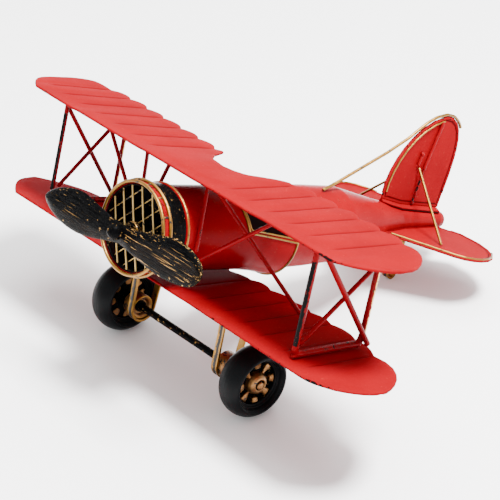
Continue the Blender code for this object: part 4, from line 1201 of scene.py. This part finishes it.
class BuildWheels(bpy.types.Operator):
    """Smooth tyres with two fine grooves, and cast bronze wheel centres with lugs"""
    bl_idname = "biplane.wheels"
    bl_label = "Wheels"

    def execute(self, context):
        for word, side in SIDES:
            self.tyre(word, side)
            self.centre(word, side, context.scene.biplane_sizes.spokes)
        return {"FINISHED"}

    def tyre(self, word, side):
        """A smooth curve from the crown over the shoulder into the hub opening, with two fine
        grooves beside the bead, mirrored and closed behind the wheel centre."""
        half = curve_through([(21.0, 0.0), (20.7, 2.7), (19.7, 5.3), (18.2, 7.4), (17.0, 8.4),
                              (16.0, 8.3), (15.0, 7.2), (14.2, 5.6), (13.5, 4.2)], 90)
        for at in (14.3, 15.7):
            half[:, 1] -= 0.45 * np.exp(-((half[:, 0] - at) / 0.22) ** 2) * (half[:, 1] > 3.0)
        bead = np.array([(12.9, 3.9), (12.7, 2.6)])
        profile = np.vstack([half, bead])
        profile = np.vstack([profile, profile[:0:-1] * np.array([1.0, -1.0])])
        shape = lathe(profile, "x", (side * WHEEL_X, 0, 0), 120, closed=True)
        make(f"{word}_tyre_rubber", [shape], finish("tyre_rubber"), f"{word}_wheel",
             [f"{word}_tyre"])

    def centre(self, word, side, lugs):
        """A dished black web, a domed bronze cap with a round nut set off its middle in a dark
        hole, and a ring of bronze wedges round the cap."""
        x0 = side * WHEEL_X
        web = np.array([(2.6, -7.6), (4.4, -7.6), (4.6, -2.2), (12.2, -2.2), (12.9, -3.4),
                        (13.2, -3.0), (13.2, 3.0), (12.9, 3.4), (12.2, 1.2), (2.6, 1.2)])
        cap = rounded([(0.0, 5.0), (3.1, 5.0), (3.2, 6.6), (4.2, 6.5), (5.6, 5.5), (6.5, 3.6),
                       (6.8, 1.0), (0.0, 1.0)], 0.35)
        well = np.array([(0.0, 5.2), (3.15, 5.2), (3.15, 4.8), (0.0, 4.8)])
        nut = rounded([(0.0, 6.9), (1.7, 6.9), (2.2, 6.4), (2.2, 4.9), (0.0, 4.9)], 0.25)
        for turned in (cap, web, well, nut):
            turned[:, 1] *= side
        make(f"{word}_wheel_web", [lathe(web, "x", (x0, 0, 0), 72, wear=0.04, closed=True),
                                   lathe(well, "x", (x0, 0, 0), 32)],
             finish("black_gloss"), f"{word}_wheel", [f"{word}_wheel_hub"])
        pieces = [lathe(cap, "x", (x0, 0, 0), 56, wear=0.14),
                  lathe(nut, "x", (x0, 0.45, -0.5), 32, wear=0.1)]
        for k in range(lugs):
            pieces += self.lug(x0, side, math.tau * (k + 0.3) / lugs, k)
        make(f"{word}_wheel_cap", pieces, finish("bronze_cast"), f"{word}_wheel", ())

    def lug(self, x0, side, angle, k):
        """A wedge near the rim, every second one drawn in to the cap. Its width grows with the
        radius and its outer face is rounded. A flat patch behind is the back of the lug."""
        along = np.array([0.0, math.cos(angle), math.sin(angle)])
        across = np.array([0.0, -math.sin(angle), math.cos(angle)])
        axle = np.array([side, 0.0, 0.0])
        start = 6.2 if k % 2 else 9.2
        radius = start + (12.5 - start) * np.array([0.0, 0.15, 0.4, 0.65, 0.9, 1.0])
        width = np.interp(radius, [5.0, 7.5, 9.0, 11.5, 12.5], [0.9, 0.8, 1.7, 2.5, 2.1])
        width *= 1.0 + 0.12 * math.sin(5 * k)
        height = np.interp(radius, [5.0, 7.5, 9.5, 11.5, 12.5], [4.0, 3.0, 3.4, 4.0, 3.0])
        height += 0.3 * math.cos(3 * k)
        turn = np.linspace(0.0, math.pi, 9)
        u = np.concatenate([np.cos(turn), [-1.0, 1.0]])
        v = np.concatenate([0.6 + 0.4 * np.sin(turn) ** 0.6, [0.0, 0.0]])
        points = (np.array([x0, 0, 0]) + radius[:, None, None] * along
                  + width[:, None, None] * u[None, :, None] * across
                  + (1.0 + (height - 1.0)[:, None, None] * v[None, :, None]) * axle)
        inner = np.array([8.6, 9.2, 11.6, 12.2])
        spread = np.array([0.9, 1.6, 2.4, 1.8])
        patch_u = np.array([-1.0, 1.0, 1.0, -1.0])
        patch_v = np.array([-2.0, -2.0, -2.8, -2.8])
        patch = (np.array([x0, 0, 0]) + inner[:, None, None] * along
                 + spread[:, None, None] * patch_u[None, :, None] * across
                 + patch_v[None, :, None] * axle)
        return [skin(points, wear=0.14), skin(patch, wear=0.2)]


# Tail

def pillow(outline, x_of, thickness, seam):
    """A flat plate from its outline, drawn in to a middle point in even shares. Its thickness
    follows a quarter circle near the edge. x_of turns (u, v, lift) into level-frame points. A
    dark line of painted shade runs at the distance seam inside the edge."""
    outline = np.asarray(outline, float)
    middle = outline.mean(0)
    reach = np.linalg.norm(outline - middle, axis=1)
    half = thickness / 2.0
    steps = np.concatenate([[0.0, 0.1, 0.3, 0.6, 1.0], np.arange(1.4, 6.1, 0.35),
                            np.linspace(6.8, 60.0, 14)])
    share = 1.0 - steps[:, None] / reach[None]
    floor = np.linspace(0.0, 1.0, len(steps))[::-1][:, None]
    share = np.maximum(share, floor * 0.9 * (steps[:, None] > 6.0))
    share = np.minimum.accumulate(share, axis=0)
    flat = middle + (outline - middle)[None] * share[..., None]
    depth = (1.0 - share) * reach[None]
    lift = half * np.sqrt(1.0 - (1.0 - np.clip(depth / half, 0.0, 1.0)) ** 2)
    front = x_of(flat[..., 0], flat[..., 1], lift)
    back = x_of(flat[..., 0], flat[..., 1], -lift)
    ahead = unit(np.roll(outline, -1, axis=0) - np.roll(outline, 1, axis=0))
    toward = unit(outline - middle)
    square = depth * np.abs(ahead[:, 0] * toward[:, 1] - ahead[:, 1] * toward[:, 0])
    edge = np.exp(-(square / 0.8) ** 2)
    # painted shade: a dark line inside the edge, next to the rolled bead
    dark = np.exp(-((square - seam) / 0.45) ** 2)
    points = np.concatenate([front[::-1], back[1:]], axis=0)
    edge, dark = (np.concatenate([value[::-1], value[1:]], axis=0) for value in (edge, dark))
    return skin(points, wear=edge * 0.3 + 0.02, soot=dark)


def outline_of(name, u_axis, v_axis):
    """The solid's silhouette seen square on: its corners ordered by their angle about the
    middle, and resampled evenly along the loop they make."""
    points = np.unique(np.round(corners_of(name)[:, [u_axis, v_axis]], 2), axis=0)
    middle = (points.max(0) + points.min(0)) / 2.0
    angle = np.arctan2(points[:, 1] - middle[1], points[:, 0] - middle[0])
    loop = points[np.argsort(angle)]
    loop = np.vstack([loop, loop[:1]])
    length = np.concatenate([[0.0], np.cumsum(np.linalg.norm(np.diff(loop, axis=0), axis=1))])
    even = np.linspace(0.0, length[-1], 260, endpoint=False)
    return np.stack([np.interp(even, length, loop[:, k]) for k in range(2)], axis=1)


def drawn_in(loop, distance):
    """A closed outline moved inward along its normals; it runs anticlockwise."""
    ahead = unit(np.roll(loop, -2, axis=0) - np.roll(loop, 2, axis=0))
    return loop + distance * np.stack([-ahead[:, 1], ahead[:, 0]], axis=1)


def open_run(loop, kept):
    """The kept points of a closed outline as one run that starts after the longest gap."""
    run = loop[kept]
    gap = np.argmax(np.linalg.norm(np.diff(np.vstack([run, run[:1]]), axis=0), axis=1))
    return np.roll(run, -gap - 1, axis=0)


class BuildTail(bpy.types.Operator):
    """Fin, tailplanes, their gold trim, the stays and the skid"""
    bl_idname = "biplane.tail"
    bl_label = "Tail"

    def execute(self, context):
        wire = context.scene.biplane_sizes.trim_wire / MM
        red, gold = finish("red_sheet"), finish("gold_wire")
        self.fin(red, gold, wire)
        for word, side in SIDES:
            self.tailplane(word, side, red, gold, wire)
            high, low, radius = rod_of(f"{word}_tail_stay")
            stay = tube(straight(high, low + (low - high) * 0.02, 30), radius * 0.85, 14,
                        wear=0.14, soot=underside_shade)
            make(f"{word}_stay_wire", [stay], gold, "airframe", [f"{word}_tail_stay"])
        points = corners_of("fin_stay")
        places = np.linspace(points[:, 1].min() + 0.6, points[:, 1].max() - 1.2, 60)
        middle = np.array([(cut.max(0) + cut.min(0)) / 2.0
                           for cut in slices("fin_stay", 1, places)])
        middle[:, 1:] -= np.array([0.25, 0.45]) * smooth((middle[:, 1:2] - 138.0) / 10.0)
        make("fin_stay_wire", [tube(middle, 0.95, 14, wear=0.12, soot=underside_shade)], gold, "airframe",
             ["fin_stay"])
        self.skid()
        return {"FINISHED"}

    def fin(self, red, gold, wire):
        """Plate, rolled edge bead, inner gold trim, hinge rod and foot plate."""
        loop = outline_of("fin", 1, 2)

        def upright(u, v, lift):
            """A plate that stands along the body."""
            return np.stack([lift, u, v], axis=-1)
        plate = pillow(loop, upright, TAIL_SHEET, 2.3)
        rim = open_run(drawn_in(loop, 0.9), loop[:, 1] > 88.0)
        bead = np.stack([0.0 * rim[:, 0], rim[:, 0], rim[:, 1]], axis=1)
        make("fin_plate", [plate, tube(bead, 1.1, 14, wear=0.2)], red, "airframe", ["fin"])
        ends = corners_of("fin_base")[:, 1]
        y = np.linspace(ends.min() + 0.05, ends.max() - 0.05, 60)
        base = np.array([cut[:, 2].min() for cut in slices("fin_base", 1, y)])[:, None]
        half = 1.4 + 2.6 * smooth((y - ends.min()) / 7.0)[:, None]
        ridge = [(-1.0, -0.9), (-1.0, -0.2), (-1.0, 0.4), (-0.9, 0.7), (-0.3, 1.7), (0.3, 1.7),
                 (0.9, 0.7), (1.0, 0.4), (1.0, -0.2), (1.0, -0.9)]
        across, lift = np.array(ridge).T
        roof = np.stack([across * half, y[:, None] + 0.0 * across, base + lift + 0.0 * half], -1)
        # painted shade: the low sides of the foot, where it meets the body, are darkened
        shade = np.array([1.0, 0.9, 0.1, 0.0, 0.0, 0.0, 0.0, 0.1, 0.9, 1.0])
        make("fin_foot", [skin(roof, soot=shade, wear=0.04)], red, "airframe", ["fin_base"],
             30.0)
        upper = straight((1.7, 155.0, 104.0), (1.7, 159.9, 133.6), 30)
        wobble = np.sin(np.linspace(0.0, 30.0, 60))
        lower = straight((1.6, 152.9, 81.2), (1.7, 154.9, 103.6), 60)
        lower[:, 0] += 0.12 * wobble
        lower[:, 1] += 0.18 * np.cos(np.linspace(0.0, 23.0, 60))
        lump = blob((1.9, 149.6, 113.4), (1.1, 1.1, 1.4), 1.0)
        stub = tube(straight((1.6, 149.6, 113.0), (1.8, 148.7, 106.6), 10), 0.85, 10)
        # painted shadow: the lower twisted wire is darkened all along by the shade value
        hinge = [tube(upper, 0.95, 14, wear=0.04),
                 tube(lower, 0.62 + 0.1 * wobble, 12, wear=0.3, soot=0.35)]
        make("hinge_rod", [*hinge, lump, stub], finish("red_rod"), "airframe", ["rudder_post"])
        for face, label in ((1.0, "port"), (-1.0, "starboard")):
            kept = (loop[:, 1] > 89.0) & (loop[:, 0] < 161.0)
            run = open_run(drawn_in(loop, 2.1), kept)
            trim = np.stack([1.0 * face + 0.0 * run[:, 0], run[:, 0], run[:, 1]], axis=1)
            make(f"fin_trim_{label}", [tube(trim, wire * 1.1, 12, wear=0.1, soot=underside_shade)], gold,
                 "airframe", ())

    def tailplane(self, word, side, red, gold, wire):
        """Plate with a rolled edge, and the gold wire along its front edge and round the tip."""
        loop = outline_of(f"{word}_tailplane", 0, 1)
        steps = np.linspace(100.0, 184.0, 40)
        boom = [cut[:, 0].max() for cut in slices("rear_fuselage", 1, steps)]
        root = np.abs(loop[:, 0]) < np.interp(loop[:, 1], steps, boom) + 1.5
        loop[root, 0] -= side * 2.6
        height = corners_of(f"{word}_tailplane")[:, 2]
        z = (height.max() + height.min()) / 2.0

        def level(u, v, lift):
            """A plate that lies flat at the height of the tailplane."""
            return np.stack([u, v, z + lift], axis=-1)
        plate = pillow(loop, level, TAIL_SHEET, 2.6)
        rim = open_run(drawn_in(loop, 0.9), np.abs(loop[:, 0]) > 13.0)
        bead = np.stack([rim[:, 0], rim[:, 1], z + 0.0 * rim[:, 0]], axis=1)
        make(f"{word}_tail_sheet", [plate, tube(bead, 1.0, 14, wear=0.2)], red, "airframe",
             [f"{word}_tailplane"])
        front = (np.abs(loop[:, 0]) > 17.0) & ((loop[:, 1] < 158.0) | (np.abs(loop[:, 0]) > 50.0))
        run = open_run(drawn_in(loop, 0.7), front)
        trim = np.stack([run[:, 0], run[:, 1], z + 1.05 + 0.0 * run[:, 0]], axis=1)
        make(f"{word}_tail_trim", [tube(trim, wire * 1.1, 12, wear=0.12, soot=underside_shade)], gold,
             "airframe", ())

    def skid(self):
        """A strap bent in a U: its round end midway between the solid's two legs, and one outer
        radius above the solid's lowest point."""
        points = corners_of("tail_skid")
        width = points[:, 0].max() - points[:, 0].min()
        flat = points[:, 1:]
        centre = np.array([(flat[:, 0].max() + flat[:, 0].min()) / 2.0,
                           flat[:, 1].min() + SKID_BEND + SKID_SHEET / 2.0])
        angles = np.linspace(math.pi, math.tau, 26)
        arc = centre + SKID_BEND * np.stack([np.cos(angles), np.sin(angles)], axis=1)
        top = flat[:, 1].max() - 0.2
        path = np.vstack([straight((centre[0] - SKID_BEND, top), arc[0], 16)[:-1], arc,
                          straight(arc[-1], (centre[0] + SKID_BEND, top), 16)[1:]])
        loops, wear = strap(path, width, SKID_SHEET, 0.0)
        make("skid_strap", [skin(loops, wear=wear)], finish("gold_wire"), "airframe",
             ["tail_skid"])


# Stage

FLOOR_REACH = 6.0
WORLD_STRENGTH = 1.5
AIM = (0.0, 0.0, 0.05)
LIGHTS = {"key_light": ((0.46, 0.16, 1.5), 0.45, "key_power"),
          "top_light": ((-0.2, 0.3, 1.6), 1.6, "top_power")}
CAMERA_PLACE = (0.85816, -0.75085, 0.71754)
CAMERA_AZIMUTH = 50.23
CAMERA_ELEVATION = 30.36
SENSOR_WIDTH = 36.0


class BuildStage(bpy.types.Operator):
    """Pale floor, soft studio lights and the camera"""
    bl_idname = "biplane.stage"
    bl_label = "Stage"

    def execute(self, context):
        stage = context.scene.biplane_stage
        mesh = bpy.data.meshes.new("floor")
        square = ((-1, -1), (1, -1), (1, 1), (-1, 1))
        mesh.from_pydata([(x * FLOOR_REACH, y * FLOOR_REACH, 0) for x, y in square], [],
                         [(0, 1, 2, 3)])
        floor = bpy.data.objects.new("floor", mesh)
        context.scene.collection.objects.link(floor)
        made, tree, shader = base_material("pale_floor", {"Roughness": 0.75,
                                                          "Specular IOR Level": 0.15})
        place = node(tree, "ShaderNodeTexCoord").outputs["Object"]
        cloud = node(tree, "ShaderNodeTexNoise", {"Vector": place, "Scale": 3.0}).outputs[0]
        pale = tuple(stage.floor)
        tree.links.new(blend_colour(tree, ramp(tree, cloud, 0.3, 0.7), (*pale, 1.0),
                                    (*(c * 0.985 for c in pale), 1.0)),
                       shader.inputs["Base Color"])
        floor.data.materials.append(made)
        self.world(context.scene)
        for name, (place, size, power) in LIGHTS.items():
            self.area(name, place, size, getattr(stage, power))
        self.camera(context.scene, stage.lens)
        return {"FINISHED"}

    def world(self, scene):
        """An even white studio all round."""
        world = bpy.data.worlds.new("studio")
        scene.world = world
        world.use_nodes = True
        back = world.node_tree.nodes["Background"]
        back.inputs["Color"].default_value = (1.0, 1.0, 1.0, 1.0)
        back.inputs["Strength"].default_value = WORLD_STRENGTH

    def area(self, name, place, size, power):
        """A round light at the place, turned to the model's middle."""
        data = bpy.data.lights.new(name, "AREA")
        data.shape = "DISK"
        data.size = size
        data.energy = power
        light = bpy.data.objects.new(name, data)
        light.location = place
        light.rotation_euler = (Vector(AIM) - Vector(place)).to_track_quat("-Z", "Y").to_euler()
        bpy.context.scene.collection.objects.link(light)

    def camera(self, scene, lens):
        """Placed by azimuth and elevation, looking past the model's middle."""
        azimuth, elevation = math.radians(CAMERA_AZIMUTH), math.radians(CAMERA_ELEVATION)
        back = Vector((math.sin(azimuth) * math.cos(elevation),
                       -math.cos(azimuth) * math.cos(elevation), math.sin(elevation)))
        right = Vector((math.cos(azimuth), math.sin(azimuth), 0.0))
        up = back.cross(right)
        data = bpy.data.cameras.new("camera")
        data.lens = lens
        data.sensor_width = SENSOR_WIDTH
        camera = bpy.data.objects.new("camera", data)
        camera.matrix_world = (Matrix.Translation(CAMERA_PLACE)
                               @ Matrix((right, up, back)).transposed().to_4x4())
        scene.collection.objects.link(camera)
        scene.camera = camera


OPERATORS = (BuildWings, BuildStruts, BuildFuselage, BuildCowl, BuildPropeller,
             BuildUndercarriage, BuildWheels, BuildTail, BuildStage)


class BiplanePanel(bpy.types.Panel):
    """Sizes, colours and one button for each group of pieces"""
    bl_idname = "VIEW3D_PT_biplane"
    bl_label = "Model biplane"
    bl_space_type = "VIEW_3D"
    bl_region_type = "UI"
    bl_category = "Biplane"

    def draw(self, context):
        scene = context.scene
        for settings in (scene.biplane_sizes, scene.biplane_colours, scene.biplane_stage):
            box = self.layout.box()
            for name in settings.__annotations__:
                box.prop(settings, name)
        for operator in OPERATORS:
            self.layout.operator(operator.bl_idname)


CLASSES = (BiplaneSizes, BiplaneColours, BiplaneStage, *OPERATORS, BiplanePanel)


def register():
    """Adds the settings, operators and panel."""
    for made in CLASSES:
        bpy.utils.register_class(made)
    bpy.types.Scene.biplane_sizes = bpy.props.PointerProperty(type=BiplaneSizes)
    bpy.types.Scene.biplane_colours = bpy.props.PointerProperty(type=BiplaneColours)
    bpy.types.Scene.biplane_stage = bpy.props.PointerProperty(type=BiplaneStage)


def unregister():
    """Takes them away again, in reverse order."""
    del bpy.types.Scene.biplane_sizes
    del bpy.types.Scene.biplane_colours
    del bpy.types.Scene.biplane_stage
    for made in reversed(CLASSES):
        bpy.utils.unregister_class(made)


def main():
    """Builds every group in order."""
    register()
    for operator in OPERATORS:
        group_name, action = operator.bl_idname.split(".")
        getattr(getattr(bpy.ops, group_name), action)()


if __name__ == "__main__":
    main()
